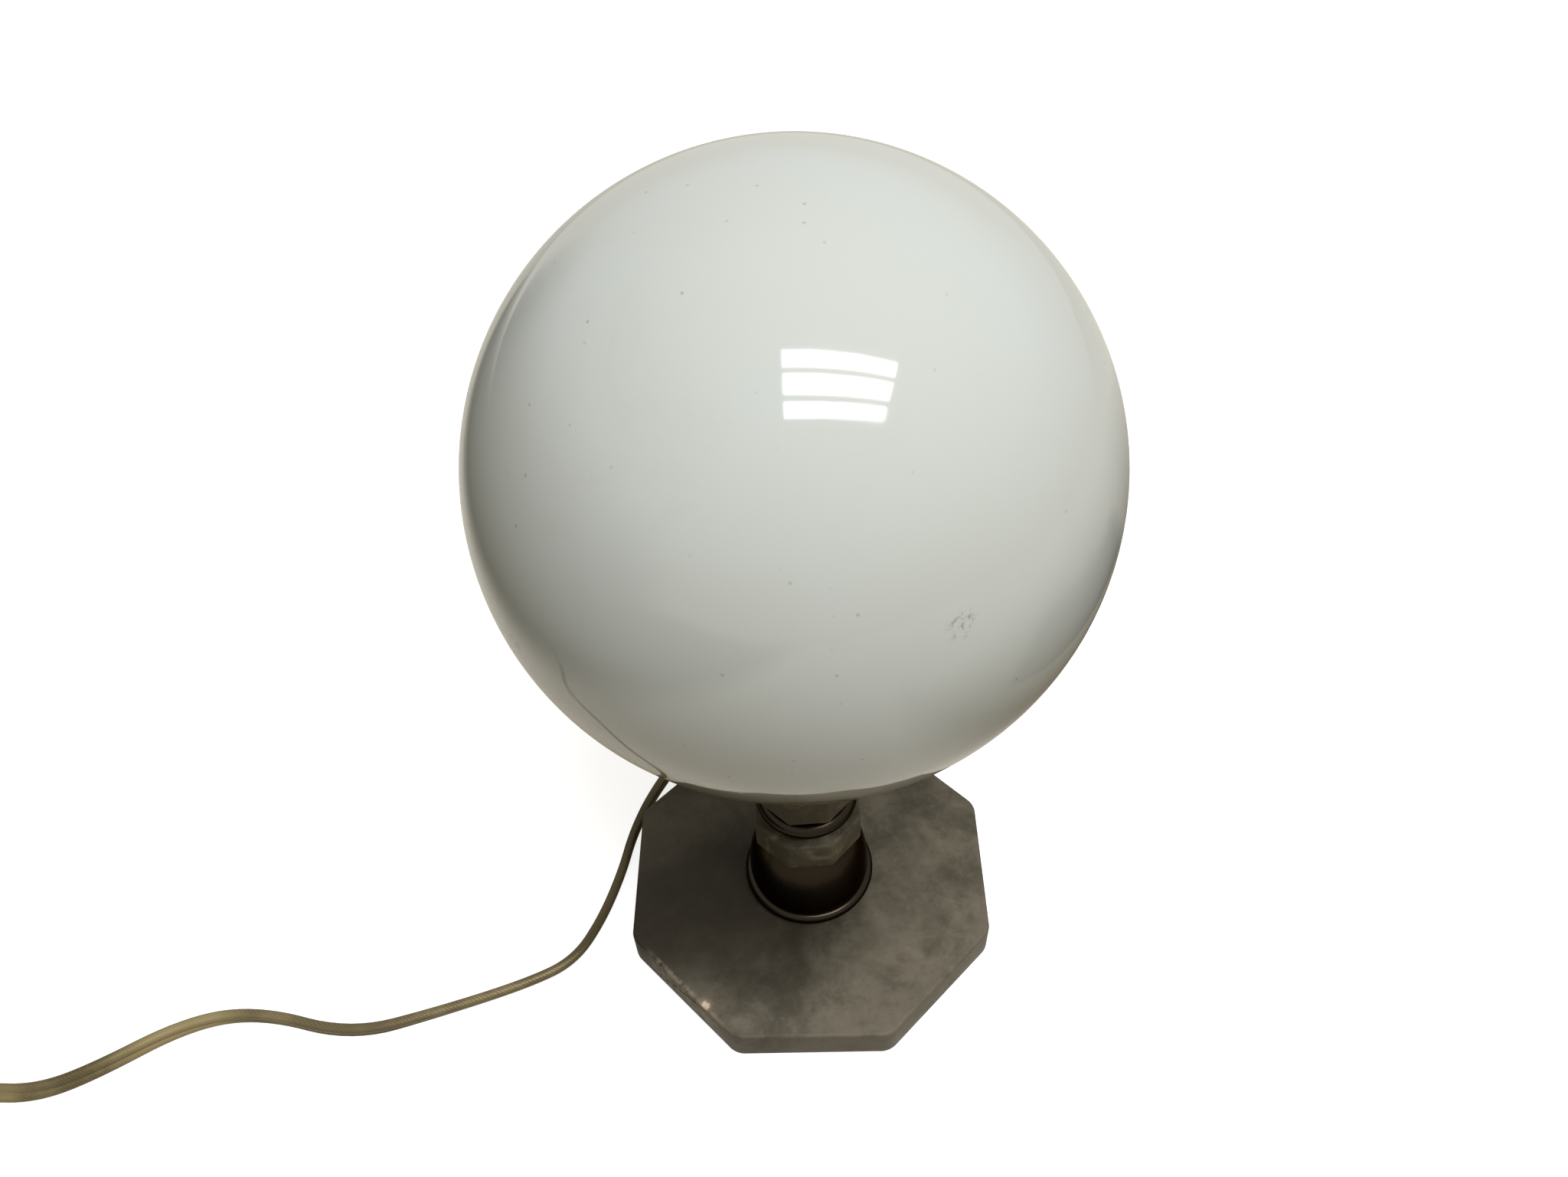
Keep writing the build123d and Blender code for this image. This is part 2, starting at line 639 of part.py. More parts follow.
# The cord leaves the base at the back, turns round behind it and comes forward along
# the left side. From there the route follows the table to the left.
pocket_end = (0, RECESS_R - CORD_END_GAP, exit_z)
relief_end = (0, base_face + RELIEF_LENGTH, exit_z)
coil_start = (
    COIL_X - COIL_INNER_R - COIL_HALF_TURNS_DOWN * COIL_PITCH / 2,
    COIL_Y - 2 * CORD_R,
    CORD_R,
)
switch_inlet = (SWITCH_X + SWITCH_LENGTH / 2, SWITCH_Y, SWITCH_AXIS_Z)
switch_outlet = (SWITCH_X - SWITCH_LENGTH / 2, SWITCH_Y, SWITCH_AXIS_Z)
LEAD_ROUTE = [
    relief_end,
    (0, 96, exit_z),
    (-8.5, 109.5, 5),
    (-26, 113, CORD_R),
    (-41.5, 99, CORD_R),
    (-47, 78, CORD_R),
    (-46, 57, CORD_R),
    (-57.3, 36.5, CORD_R),
    (-62.7, 20.8, CORD_R),
    (-65.2, 6, CORD_R),
    (-70.6, -12, CORD_R),
    (-78.3, -26.5, CORD_R),
    (-93, -34, CORD_R),
    (-120, -43, CORD_R),
    (-147, -50.5, CORD_R),
    (-178, -42, CORD_R),
    (-201, -45, CORD_R),
    (-228, -61.5, CORD_R),
    (-243, -67, CORD_R),
    (-258, -67, SWITCH_AXIS_Z),
    switch_inlet,
]
LINK_ROUTE = [
    switch_outlet,
    (-355, -67, SWITCH_AXIS_Z),
    (-377, -52, CORD_R),
    (coil_start[0], -30, CORD_R),
    coil_start,
]


def lamp_leads():
    """The two cores, parted, from the cord's end up the tube to the lampholder."""
    turn_z = base_z + LEAD_DEPTH
    start_y = pocket_end[1]
    drop_y = start_y - LEAD_STRAIGHT
    leads = []
    for x in (-LEAD_SPREAD, LEAD_SPREAD):
        route = [
            (x, start_y, exit_z),
            (x, drop_y, exit_z),
            (x, drop_y - LEAD_DROP, turn_z),
            (x, 0, turn_z),
            (x, 0, core_z),
        ]
        path = Wire(FilletPolyline(*route, radius=LEAD_BENDS).edges())
        leads.append(tube_along("lamp_leads", path, LEAD_R))
    return leads


# ---------------------------------------------------------------- coil of spare cord
def half_turn(start, radius, side):
    """Level half turn, clockwise from above; side is +1 from left to right."""
    x, y, z = start
    centre = x + side * radius
    edges = []
    for first in (180, 90) if side > 0 else (0, -90):
        points = [
            (centre + radius * cos(radians(angle)), y + radius * sin(radians(angle)), z)
            for angle in (first, first - COIL_ARC_STEP, first - 2 * COIL_ARC_STEP)
        ]
        edges.append(ThreePointArc(*points))
    return edges, (x + side * 2 * radius, y, z)


def climbing_half_turn(start, radius, side, rise):
    """Half turn that climbs a layer, as two arcs that meet on one tangent."""
    x, y, z = start
    reach = sqrt(radius**2 + (rise / 2) ** 2)
    middle = (x + side * radius, y + side * reach, z + rise / 2)
    end = (x + side * 2 * radius, y, z + rise)
    first = TangentArc(start, middle, tangent=(0, side, 0))
    second = TangentArc(middle, end, tangent=first % 1)
    return [first, second], end


def coil_path():
    """Spirals in on the table, climbs a layer at the middle and spirals out again."""
    step = COIL_PITCH / 2
    tail = 2 * CORD_R
    first_r = COIL_INNER_R + step * COIL_HALF_TURNS_DOWN
    start = (coil_start[0], COIL_Y, CORD_R)
    edges = [Line((start[0], start[1] - tail, start[2]), start)]
    side = 1
    for index in range(COIL_HALF_TURNS_DOWN):
        arcs, start = half_turn(start, first_r - step * index, side)
        edges += arcs
        side = -side
    arcs, start = climbing_half_turn(start, COIL_INNER_R, side, COIL_LAYER_RISE)
    edges += arcs
    side = -side
    for index in range(COIL_HALF_TURNS_UP):
        arcs, start = half_turn(start, COIL_INNER_R + step * (index + 1), side)
        edges += arcs
        side = -side
    edges.append(Line(start, (start[0], start[1] + side * tail, start[2])))
    return Wire(edges)


def tail_route(start):
    """Route from the coil's upper end down to the plug's strain relief."""
    x, y, z = start
    drop = PLUG_THICK / 2 - z
    return [(x + across, y + along, z + drop * share) for across, along, share in TAIL_STEPS]


def least_gap(path, radius):
    """Least gap between parts of a tube that are more than a few diameters apart."""
    spacing = 0.9 * radius
    count = int(path.length / spacing)
    points = [path @ (index / count) for index in range(count + 1)]
    apart = int(8 * radius / spacing)
    nearest = min(
        (points[i] - points[j]).length for i in range(len(points)) for j in range(i + apart, len(points))
    )
    return nearest - 2 * radius


# ---------------------------------------------------------------- cord switch
def switch_plan(inset=0.0):
    """Long rounded outline of the switch body."""
    return RectangleRounded(
        SWITCH_BODY_LENGTH - 2 * inset, SWITCH_WIDTH - 2 * inset, SWITCH_CORNER_R - inset
    )


def switch_shape():
    """Outside of the closed switch: body and the two cord nozzles."""
    body = extrude(switch_plan(), SWITCH_HEIGHT)
    body = fillet(body.edges().group_by(Axis.Z)[-1], SWITCH_TOP_R)
    body = fillet(body.edges().group_by(Axis.Z)[0], SWITCH_FOOT_R)
    return body + cord_line * rod(SWITCH_NOZZLE_R, SWITCH_LENGTH)


def switch_hollow():
    """Space inside the switch, and the way through for the cord."""
    room = Pos(0, 0, SWITCH_WALL) * extrude(
        switch_plan(SWITCH_WALL), SWITCH_HEIGHT - 2 * SWITCH_WALL
    )
    return room + cord_line * rod(CORD_R + CORD_FIT, SWITCH_LENGTH)


def at_switch(shape):
    return Pos(SWITCH_X, SWITCH_Y, 0) * shape


def below(height):
    """Wide block up to a height, which splits the switch at its parting line."""
    return Pos(0, 0, height - SWITCH_HEIGHT) * Box(
        2 * SWITCH_LENGTH, 2 * SWITCH_WIDTH, 2 * SWITCH_HEIGHT
    )


def at_posts(shape):
    """One copy of a shape at each case screw."""
    return [Pos(side * SWITCH_POST_X, SWITCH_POST_Y, 0) * shape for side in (-1, 1)]


def pivot_line(start_y):
    """Plane on the rocker's pivot whose Z axis runs along +Y."""
    return Plane((0, start_y, rocker_pivot_z), z_dir=(0, 1, 0))


def switch_base():
    """Lower half of the switch, with countersunk screw holes and a contact pillar."""
    part = (switch_shape() - switch_hollow()) & below(SWITCH_AXIS_Z)
    part += rod(PILLAR_R, pillar_top)
    for post in at_posts(rod(SWITCH_POST_R, SWITCH_AXIS_Z)):
        part += post
    hole = rod(SWITCH_SCREW_R, SWITCH_AXIS_Z) + rod(SWITCH_SCREW_HEAD_R, SWITCH_SCREW_HEAD_DEPTH)
    for cut in at_posts(hole):
        part -= cut
    return part


def switch_cover():
    """Upper half, with the rocker's window, its two ears and the screw posts."""
    part = (switch_shape() - switch_hollow()) - below(SWITCH_AXIS_Z)
    ear_y = ROCKER_WIDTH / 2 + ROCKER_GAP + EAR_THICK / 2
    ear_low = rocker_pivot_z - 2 * ROCKER_PIN_R
    ear_high = SWITCH_HEIGHT - SWITCH_WALL / 2
    ear = Box(EAR_LENGTH, EAR_THICK, ear_high - ear_low)
    for side in (-1, 1):
        part += Pos(0, side * ear_y, (ear_low + ear_high) / 2) * ear
    parting = Pos(0, 0, SWITCH_AXIS_Z)
    post = rod(SWITCH_POST_R, SWITCH_HEIGHT - SWITCH_WALL - SWITCH_AXIS_Z)
    for copy in at_posts(parting * post):
        part += copy
    for hole in at_posts(parting * rod(SWITCH_SCREW_R, SWITCH_SCREW_REACH)):
        part -= hole
    window = Box(ROCKER_LENGTH + 2 * ROCKER_GAP, ROCKER_WIDTH + 2 * ROCKER_GAP, SWITCH_HEIGHT)
    part -= Pos(0, 0, SWITCH_HEIGHT) * window
    pin_hole = rod(ROCKER_PIN_R + ROCKER_PIN_CLEARANCE, ROCKER_WIDTH + 4 * EAR_THICK)
    return part - pivot_line(-ROCKER_WIDTH / 2 - 2 * EAR_THICK) * pin_hole


def switch_rocker():
    """Shallow V-shaped rocker on two stub pins, resting with one end down."""
    rise = ROCKER_PIVOT_DEPTH + ROCKER_PROUD
    top = rocker_pivot_z + rise
    tilt = radians(ROCKER_TILT)
    foot_x = ROCKER_LENGTH / 2 / cos(tilt)
    head_x = (ROCKER_LENGTH / 2 - rise * sin(tilt)) / cos(tilt)
    heel = rocker_pivot_z - ROCKER_HEEL
    side = outline(
        (-head_x, top), (0, top - ROCKER_DIP), (head_x, top), (foot_x, rocker_pivot_z),
        (ROCKER_HEEL, heel), (-ROCKER_HEEL, heel), (-foot_x, rocker_pivot_z),
    )
    body = Pos(0, ROCKER_WIDTH / 2, 0) * extrude(Plane.XZ * filled(side), ROCKER_WIDTH)
    pin_length = ROCKER_WIDTH + 2 * ROCKER_PIN_REACH
    body += pivot_line(-pin_length / 2) * rod(ROCKER_PIN_R, pin_length)
    pivot = Axis((0, 0, rocker_pivot_z), (0, 1, 0))
    return body.rotate(pivot, -ROCKER_TILT)


def switch_screws():
    """Two case screws, put in from below."""
    head = rod(SWITCH_SCREW_HEAD_R - SWITCH_SCREW_FIT, SWITCH_SCREW_HEAD_DEPTH - SWITCH_SCREW_SINK)
    length = SWITCH_AXIS_Z + SWITCH_SCREW_REACH - SWITCH_SCREW_SINK - SWITCH_SCREW_SPARE
    screw = head + rod(SWITCH_SCREW_R - SWITCH_SCREW_FIT, length)
    return at_posts(Pos(0, 0, SWITCH_SCREW_SINK) * screw)


def switch_terminals():
    """Two brass blocks on the floor, each where one core is cut and clamped."""
    block = Box(*TERMINAL_SIZE, align=(Align.CENTER, Align.CENTER, Align.MIN))
    block -= Pos(0, 0, TERMINAL_SIZE[2] / 2) * Rot(0, 90, 0) * Cylinder(LEAD_R, TERMINAL_SIZE[0])
    return [Pos(side * TERMINAL_X, TERMINAL_Y, SWITCH_WALL) * block for side in (-1, 1)]


def switch_contact():
    """Sprung contact bridge on the pillar, under the rocker."""
    half = CONTACT_LENGTH / 2
    low = pillar_top
    strip = outline(
        (-half, low + CONTACT_LIFT), (-CONTACT_FLAT, low), (CONTACT_FLAT, low),
        (half, low + CONTACT_LIFT), (half, low + CONTACT_LIFT + CONTACT_SHEET),
        (CONTACT_FLAT, low + CONTACT_SHEET), (-CONTACT_FLAT, low + CONTACT_SHEET),
        (-half, low + CONTACT_LIFT + CONTACT_SHEET),
    )
    return Pos(0, CONTACT_WIDTH / 2, 0) * extrude(Plane.XZ * filled(strip), CONTACT_WIDTH)


# ---------------------------------------------------------------- plug
def plug_body():
    """Flat moulded body, widest at the pins and waisted towards the cord."""
    face = PLUG_FACE_WIDTH / 2
    rear = PLUG_REAR_WIDTH / 2
    shoulder = face - PLUG_SHOULDER_IN
    plan = outline(
        (-rear, 0), (rear, 0), (shoulder, PLUG_LENGTH - PLUG_SHOULDER), (face, PLUG_LENGTH),
        (-face, PLUG_LENGTH), (-shoulder, PLUG_LENGTH - PLUG_SHOULDER),
    )
    body = extrude(filled(plan), PLUG_THICK)
    body = fillet(body.edges().filter_by(Axis.Z), PLUG_EDGE_R)
    body = fillet(body.edges().group_by(Axis.Z)[-1], PLUG_EDGE_R)
    body = fillet(body.edges().group_by(Axis.Z)[0], PLUG_EDGE_R)
    for pin in plug_pins():
        body -= pin
    return body


def plug_pins():
    """Two round pins with rounded ends, rooted in the body."""
    pins = []
    for side in (-1, 1):
        pin = rod(PLUG_PIN_R, PLUG_PIN_LENGTH)
        pin = fillet(pin.edges().sort_by(Axis.Z)[-1], PLUG_PIN_TIP_R)
        pin += Pos(0, 0, -PLUG_PIN_ROOT) * rod(PLUG_PIN_ROOT_R, PLUG_PIN_ROOT)
        shoulder = (side * PLUG_PIN_SPACING / 2, PLUG_LENGTH, PLUG_THICK / 2)
        pins.append(Plane(shoulder, z_dir=(0, 1, 0)) * pin)
    return pins


def plug_relief():
    """Tapered strain relief moulded on behind the plug, with ring grooves."""
    ring = PLUG_RELIEF_LENGTH / RELIEF_RINGS
    taper = (PLUG_RELIEF_ROOT_R - PLUG_RELIEF_TIP_R) / PLUG_RELIEF_LENGTH
    points = [(0, 0), (PLUG_RELIEF_ROOT_R, 0)]
    for index in range(RELIEF_RINGS - 1):
        low = (index + RELIEF_RIB_SHARE) * ring
        high = (index + 1) * ring
        radius = PLUG_RELIEF_ROOT_R - taper * low
        next_radius = PLUG_RELIEF_ROOT_R - taper * high
        groove = radius - RELIEF_GROOVE
        points += [(radius, low), (groove, low), (groove, high), (next_radius, high)]
    points += [(PLUG_RELIEF_TIP_R, PLUG_RELIEF_LENGTH), (0, PLUG_RELIEF_LENGTH)]
    return Plane((0, 0, PLUG_THICK / 2), z_dir=(0, -1, 0)) * turned(outline(*points))


def at_plug(shape, tip):
    """Places a piece of the plug so that its strain relief starts at the cord's end."""
    return Pos(tip[0], tip[1] + PLUG_RELIEF_LENGTH, 0) * shape


# ---------------------------------------------------------------- writing the nodes
os.makedirs("parts", exist_ok=True)

save("felt_pad", felt_pad())
save("base_slab", base_slab())
save("base_washer", disc(BASE_WASHER_R, TUBE_R, recess_top - WASHER_THICK, recess_top))
save("base_nut", hex_nut(base_nut_z))
save("stem_tube", disc(TUBE_R, TUBE_BORE_R, tube_z, tube_top))
save("bell_collar", bell_collar())
save("lower_block", marble_block(LOWER_BLOCK_ACROSS, collar_top, LOWER_BLOCK_HEIGHT))
save(
    "lower_spacer",
    turned_spacer(
        lower_block_top, LOWER_SPACER_HEIGHT, LOWER_SPACER_FOOT_R, LOWER_SPACER_HEAD_R, LOWER_SPACER_WAIST_R
    ),
)
save("upper_block", marble_block(UPPER_BLOCK_ACROSS, lower_spacer_top, UPPER_BLOCK_HEIGHT))
save(
    "upper_spacer",
    turned_spacer(
        upper_block_top, UPPER_SPACER_HEIGHT, UPPER_SPACER_FOOT_R, UPPER_SPACER_HEAD_R, UPPER_SPACER_WAIST_R
    ),
)
save("gallery", gallery())
save("gallery_washer", disc(GALLERY_WASHER_R, TUBE_R, top_washer_z, top_nut_z))
save("gallery_nut", hex_nut(top_nut_z))
save("seat_ring", disc(NECK_R, NECK_R - NECK_WALL - SEAT_RING_LIP, shelf_z, seat_z))
save("globe", globe())
save("globe_neck", globe_neck())
for number, angle in enumerate(screw_angles(), 1):
    save(f"thumb_screw_{number}", thumb_screw(angle))

save("holder_cap", holder_cap())
save("holder_core", holder_core())
save("holder_shell", holder_shell())
save("holder_sleeve", holder_sleeve())
save("holder_tongue", holder_tongue())
save("bulb_glass", bulb_glass())
save("bulb_cap", bulb_cap())
save("bulb_insulator", bulb_insulator())
save("bulb_contact", bulb_contact())

save("cord_relief", cord_relief())
save("lamp_leads", *lamp_leads())
inlet = Wire(Line(pocket_end, relief_end).edges())
save("cord_inlet", tube_along("cord_inlet", inlet, CORD_R))
save("cord_lead", cord_tube("cord_lead", LEAD_ROUTE, CORD_R))
save("cord_link", cord_tube("cord_link", LINK_ROUTE, CORD_R))
coil = coil_path()
save("cord_coil", tube_along("cord_coil", coil, CORD_R))
print(f"cord_coil: least gap to itself {least_gap(coil, CORD_R):.2f}")
tail = tail_route(coil @ 1)
save("cord_tail", cord_tube("cord_tail", tail, CORD_R))

save("switch_base", at_switch(switch_base()))
save("switch_cover", at_switch(switch_cover()))
save("switch_rocker", at_switch(switch_rocker()))
save("switch_screws", *[at_switch(screw) for screw in switch_screws()])
save("switch_terminals", *[at_switch(block) for block in switch_terminals()])
save("switch_contact", at_switch(switch_contact()))

save("plug_body", at_plug(plug_body(), tail[-1]))
save("plug_pins", *[at_plug(pin, tail[-1]) for pin in plug_pins()])
save("plug_relief", at_plug(plug_relief(), tail[-1]))
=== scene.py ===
"""Looks of a glass globe table lamp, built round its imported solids.

The globe, the turned brass, the marble and the cord are modelled here; the inner pieces keep
their solids and get materials. Sizes are in metres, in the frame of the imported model.
"""

from math import atan2, cos, degrees, pi, radians, sin, sqrt

import bmesh
import bpy
from mathutils import Matrix, Vector


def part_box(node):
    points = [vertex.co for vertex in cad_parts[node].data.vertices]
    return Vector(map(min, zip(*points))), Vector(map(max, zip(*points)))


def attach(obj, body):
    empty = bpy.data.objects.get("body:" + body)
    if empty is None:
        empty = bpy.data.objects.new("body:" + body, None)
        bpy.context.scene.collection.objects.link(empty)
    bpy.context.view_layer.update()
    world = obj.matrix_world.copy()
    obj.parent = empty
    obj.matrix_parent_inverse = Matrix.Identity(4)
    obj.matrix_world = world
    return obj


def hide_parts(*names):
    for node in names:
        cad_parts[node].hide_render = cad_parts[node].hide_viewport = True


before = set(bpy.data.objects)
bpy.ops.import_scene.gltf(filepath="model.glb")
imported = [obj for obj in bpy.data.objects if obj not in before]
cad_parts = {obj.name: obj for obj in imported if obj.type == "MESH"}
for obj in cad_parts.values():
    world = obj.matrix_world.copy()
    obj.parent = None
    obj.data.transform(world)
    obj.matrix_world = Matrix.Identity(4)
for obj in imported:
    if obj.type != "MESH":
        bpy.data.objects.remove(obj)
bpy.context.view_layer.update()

bl_info = {
    "name": "Globe table lamp",
    "version": (1, 0, 0),
    "blender": (4, 5, 0),
    "location": "View3D > Sidebar > Lamp",
    "description": "Builds an opal globe lamp on a marble base, with its cord, switch and plug",
    "category": "Add Mesh",
}

MM = 0.001
TUBE_BORE = 5.4 * MM  # radius of the hole that the threaded tube runs through
EIGHTH = radians(22.5)  # half the angle between two corners of an eight-sided piece

# The base's front left edge: its directions outwards and along, and the chip knocked out of it.
HALF_ROOT = sqrt(0.5)
EDGE_OUTWARD = (-HALF_ROOT, -HALF_ROOT, 0.0)
EDGE_ALONG = (HALF_ROOT, -HALF_ROOT, 0.0)
CHIP = (-33.4 * MM, -47.4 * MM, 13.2 * MM)
CHIP_RADIUS = 2.0 * MM
CHIP_DEPTH = 0.75 * MM


def metres(point):
    """A point in millimetres, in metres."""
    return tuple(MM * value for value in point)


def low(node):
    """Low corner of a CAD node's box."""
    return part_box(node)[0]


def high(node):
    """High corner of a CAD node's box."""
    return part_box(node)[1]


def half_width(node):
    return (high(node).x - low(node).x) / 2


# ---------------------------------------------------------------- sizes and colours
class LampSizes(bpy.types.PropertyGroup):
    globe_radius: bpy.props.FloatProperty(
        name="Globe radius",
        description="Outside radius of the opal globe",
        default=half_width("globe"),
        unit="LENGTH",
    )
    globe_wall: bpy.props.FloatProperty(
        name="Globe wall",
        description="Thickness of the blown glass",
        default=2.5 * MM,
        unit="LENGTH",
    )
    base_across: bpy.props.FloatProperty(
        name="Base width",
        description="Marble base, across its flats",
        default=2 * half_width("base_slab"),
        unit="LENGTH",
    )
    base_corner: bpy.props.FloatProperty(
        name="Base corner radius",
        description="Rounding of the eight upright corners",
        default=3.4 * MM,
        unit="LENGTH",
    )
    block_turn: bpy.props.FloatProperty(
        name="Block turn",
        description="How far the marble blocks stand turned on the base",
        default=radians(2.8),
        subtype="ANGLE",
        unit="ROTATION",
    )
    cord_width: bpy.props.FloatProperty(
        name="Cord width",
        description="Width of the flat two-core cord",
        default=5.6 * MM,
        unit="LENGTH",
    )
    cord_thickness: bpy.props.FloatProperty(
        name="Cord thickness",
        description="Thickness of the flat cord, which is one core's diameter",
        default=3.2 * MM,
        unit="LENGTH",
    )


class LampColours(bpy.types.PropertyGroup):
    opal: bpy.props.FloatVectorProperty(
        name="Opal glass",
        description="Body colour of the globe",
        subtype="COLOR",
        default=(0.645, 0.688, 0.672),
    )
    base_pale: bpy.props.FloatVectorProperty(
        name="Base marble, pale",
        description="Pale clouds of the base's marble",
        subtype="COLOR",
        default=(0.186, 0.165, 0.125),
    )
    base_dark: bpy.props.FloatVectorProperty(
        name="Base marble, dark",
        description="Dark clouds of the base's marble",
        subtype="COLOR",
        default=(0.088, 0.077, 0.057),
    )
    # Painted shadow: the dark colour laid over the left of the base's marble, where the globe's shadow
    # falls.
    base_painted_shadow: bpy.props.FloatVectorProperty(
        name="Base marble, drift",
        description="Smoky drift over the left of the base's marble",
        subtype="COLOR",
        default=(0.025, 0.0205, 0.0135),
    )
    block_pale: bpy.props.FloatVectorProperty(
        name="Block marble, pale",
        description="Pale clouds of the stem's marble blocks",
        subtype="COLOR",
        default=(0.135, 0.117, 0.083),
    )
    block_dark: bpy.props.FloatVectorProperty(
        name="Block marble, dark",
        description="Dark clouds of the stem's marble blocks",
        subtype="COLOR",
        default=(0.08, 0.07, 0.048),
    )
    patina: bpy.props.FloatVectorProperty(
        name="Brass patina",
        description="Dark skin on the turned brass",
        subtype="COLOR",
        default=(0.026, 0.0205, 0.0145),
    )
    brass: bpy.props.FloatVectorProperty(
        name="Brass",
        description="Bare brass where the patina is worn, and the screws",
        subtype="COLOR",
        default=(0.58, 0.43, 0.18),
    )
    cord: bpy.props.FloatVectorProperty(
        name="Cord",
        description="Gold-brown insulation of the cord",
        subtype="COLOR",
        default=(0.19, 0.155, 0.08),
    )


def sizes():
    return bpy.context.scene.lamp_sizes


def colours():
    return bpy.context.scene.lamp_colours


# ---------------------------------------------------------------- shared shader groups
def new_group(name, inputs, outputs):
    """Empty node group with named sockets: (name, kind, default) in, (name, kind) out."""
    group = bpy.data.node_groups.new(name, "ShaderNodeTree")
    for label, kind, default in inputs:
        socket = group.interface.new_socket(label, in_out="INPUT", socket_type=f"NodeSocket{kind}")
        if default is not None:
            socket.default_value = default
    for label, kind in outputs:
        group.interface.new_socket(label, in_out="OUTPUT", socket_type=f"NodeSocket{kind}")
    return group, group.nodes.new("NodeGroupInput"), group.nodes.new("NodeGroupOutput")


def add(tree, kind, links=(), **values):
    """Adds a node to a tree. links maps sockets to sources, and values sets properties."""
    node = tree.nodes.new(f"ShaderNode{kind}")
    for key, value in values.items():
        setattr(node, key, value)
    for key, source in dict(links).items():
        if isinstance(source, bpy.types.NodeSocket):
            tree.links.new(source, node.inputs[key])
        else:
            node.inputs[key].default_value = source
    return node


def noise(tree, vector, scale, detail, roughness, distortion=0.0):
    settings = {"Scale": scale, "Detail": detail, "Roughness": roughness, "Distortion": distortion}
    return add(tree, "TexNoise", {"Vector": vector, **settings}).outputs["Fac"]


def span(tree, value, low_in, high_in, low_out=0.0, high_out=1.0):
    """Clamped, eased map of a value from one range to another."""
    return add(
        tree,
        "MapRange",
        {"Value": value, "From Min": low_in, "From Max": high_in, "To Min": low_out, "To Max": high_out},
        interpolation_type="SMOOTHSTEP",
    ).outputs["Result"]


def maths(tree, operation, first, second=0.0):
    return add(tree, "Math", {0: first, 1: second}, operation=operation).outputs[0]


def times(tree, first, *others):
    """Product of two or more values."""
    for other in others:
        first = maths(tree, "MULTIPLY", first, other)
    return first


def plus(tree, first, *others):
    """Sum of two or more values."""
    for other in others:
        first = maths(tree, "ADD", first, other)
    return first


def mix(tree, factor, first, second):
    """Colour between two colours, each a socket or three numbers."""
    node = add(tree, "Mix", data_type="RGBA")
    for index, source in ((0, factor), (6, first), (7, second)):
        if isinstance(source, bpy.types.NodeSocket):
            tree.links.new(source, node.inputs[index])
        elif index == 0:
            node.inputs[0].default_value = source
        else:
            node.inputs[index].default_value = (*source[:3], 1.0)
    return node.outputs[2]


def clouded_marble():
    """Clouds, mottling and thin veins of a fine-grained marble."""
    group, given, result = new_group(
        "Clouded marble",
        [
            ("Vector", "Vector", None),
            ("Scale", "Float", 60.0),
            ("Pale", "Color", None),
            ("Dark", "Color", None),
            ("Vein", "Color", None),
            ("Vein Amount", "Float", 0.3),
        ],
        [("Color", "Color"), ("Roughness", "Float"), ("Height", "Float")],
    )
    vector, scale = given.outputs["Vector"], given.outputs["Scale"]
    clouds = noise(group, vector, scale, 6.0, 0.62, 0.6)
    drifts = noise(group, vector, times(group, scale, 0.36), 3.0, 0.5, 0.8)
    grain = noise(group, vector, times(group, scale, 3.3), 5.0, 0.68, 0.3)
    speckle = noise(group, vector, times(group, scale, 13.0), 3.0, 0.6)
    tone = plus(group, times(group, clouds, 0.42), times(group, grain, 0.28), times(group, drifts, 0.3))
    stone = mix(group, span(group, tone, 0.40, 0.60), given.outputs["Dark"], given.outputs["Pale"])
    stone = mix(group, span(group, speckle, 0.58, 0.74, 0.0, 0.12), stone, given.outputs["Vein"])
    ridge = maths(group, "ABSOLUTE", maths(group, "SUBTRACT", drifts, 0.5))
    thin = span(group, ridge, 0.0, 0.045, 1.0, 0.0)
    vein = times(group, thin, given.outputs["Vein Amount"], span(group, clouds, 0.42, 0.62))
    group.links.new(mix(group, vein, stone, given.outputs["Vein"]), result.inputs["Color"])
    group.links.new(span(group, grain, 0.35, 0.7, 0.40, 0.58), result.inputs["Roughness"])
    group.links.new(plus(group, speckle, times(group, grain, 0.8)), result.inputs["Height"])
    return group


def aged_metal():
    """Patina that is rubbed thin in places, with fine turning marks and pits."""
    group, given, result = new_group(
        "Aged metal",
        [
            ("Vector", "Vector", None),
            ("Scale", "Float", 120.0),
            ("Metal", "Color", None),
            ("Skin", "Color", None),
            ("Wear", "Float", 0.3),
        ],
        [("Color", "Color"), ("Roughness", "Float"), ("Metallic", "Float"), ("Height", "Float")],
    )
    vector, scale = given.outputs["Vector"], given.outputs["Scale"]
    patches = noise(group, vector, scale, 6.0, 0.65, 0.4)
    edge = maths(group, "SUBTRACT", 0.78, times(group, given.outputs["Wear"], 0.5))
    worn = span(group, patches, edge, plus(group, edge, 0.16))
    pits = noise(group, vector, times(group, scale, 9.0), 2.0, 0.5)
    rings = add(
        group,
        "TexWave",
        {"Vector": vector, "Scale": times(group, scale, 5.0), "Distortion": 1.2, "Detail": 2.0},
        wave_type="BANDS",
        bands_direction="Z",
    ).outputs["Fac"]
    group.links.new(mix(group, worn, given.outputs["Skin"], given.outputs["Metal"]), result.inputs["Color"])
    group.links.new(span(group, pits, 0.3, 0.7, 0.21, 0.27), result.inputs["Roughness"])
    group.links.new(span(group, worn, 0.0, 1.0, 0.95, 1.0), result.inputs["Metallic"])
    group.links.new(plus(group, times(group, rings, 0.5), times(group, pits, 0.5)), result.inputs["Height"])
    return group


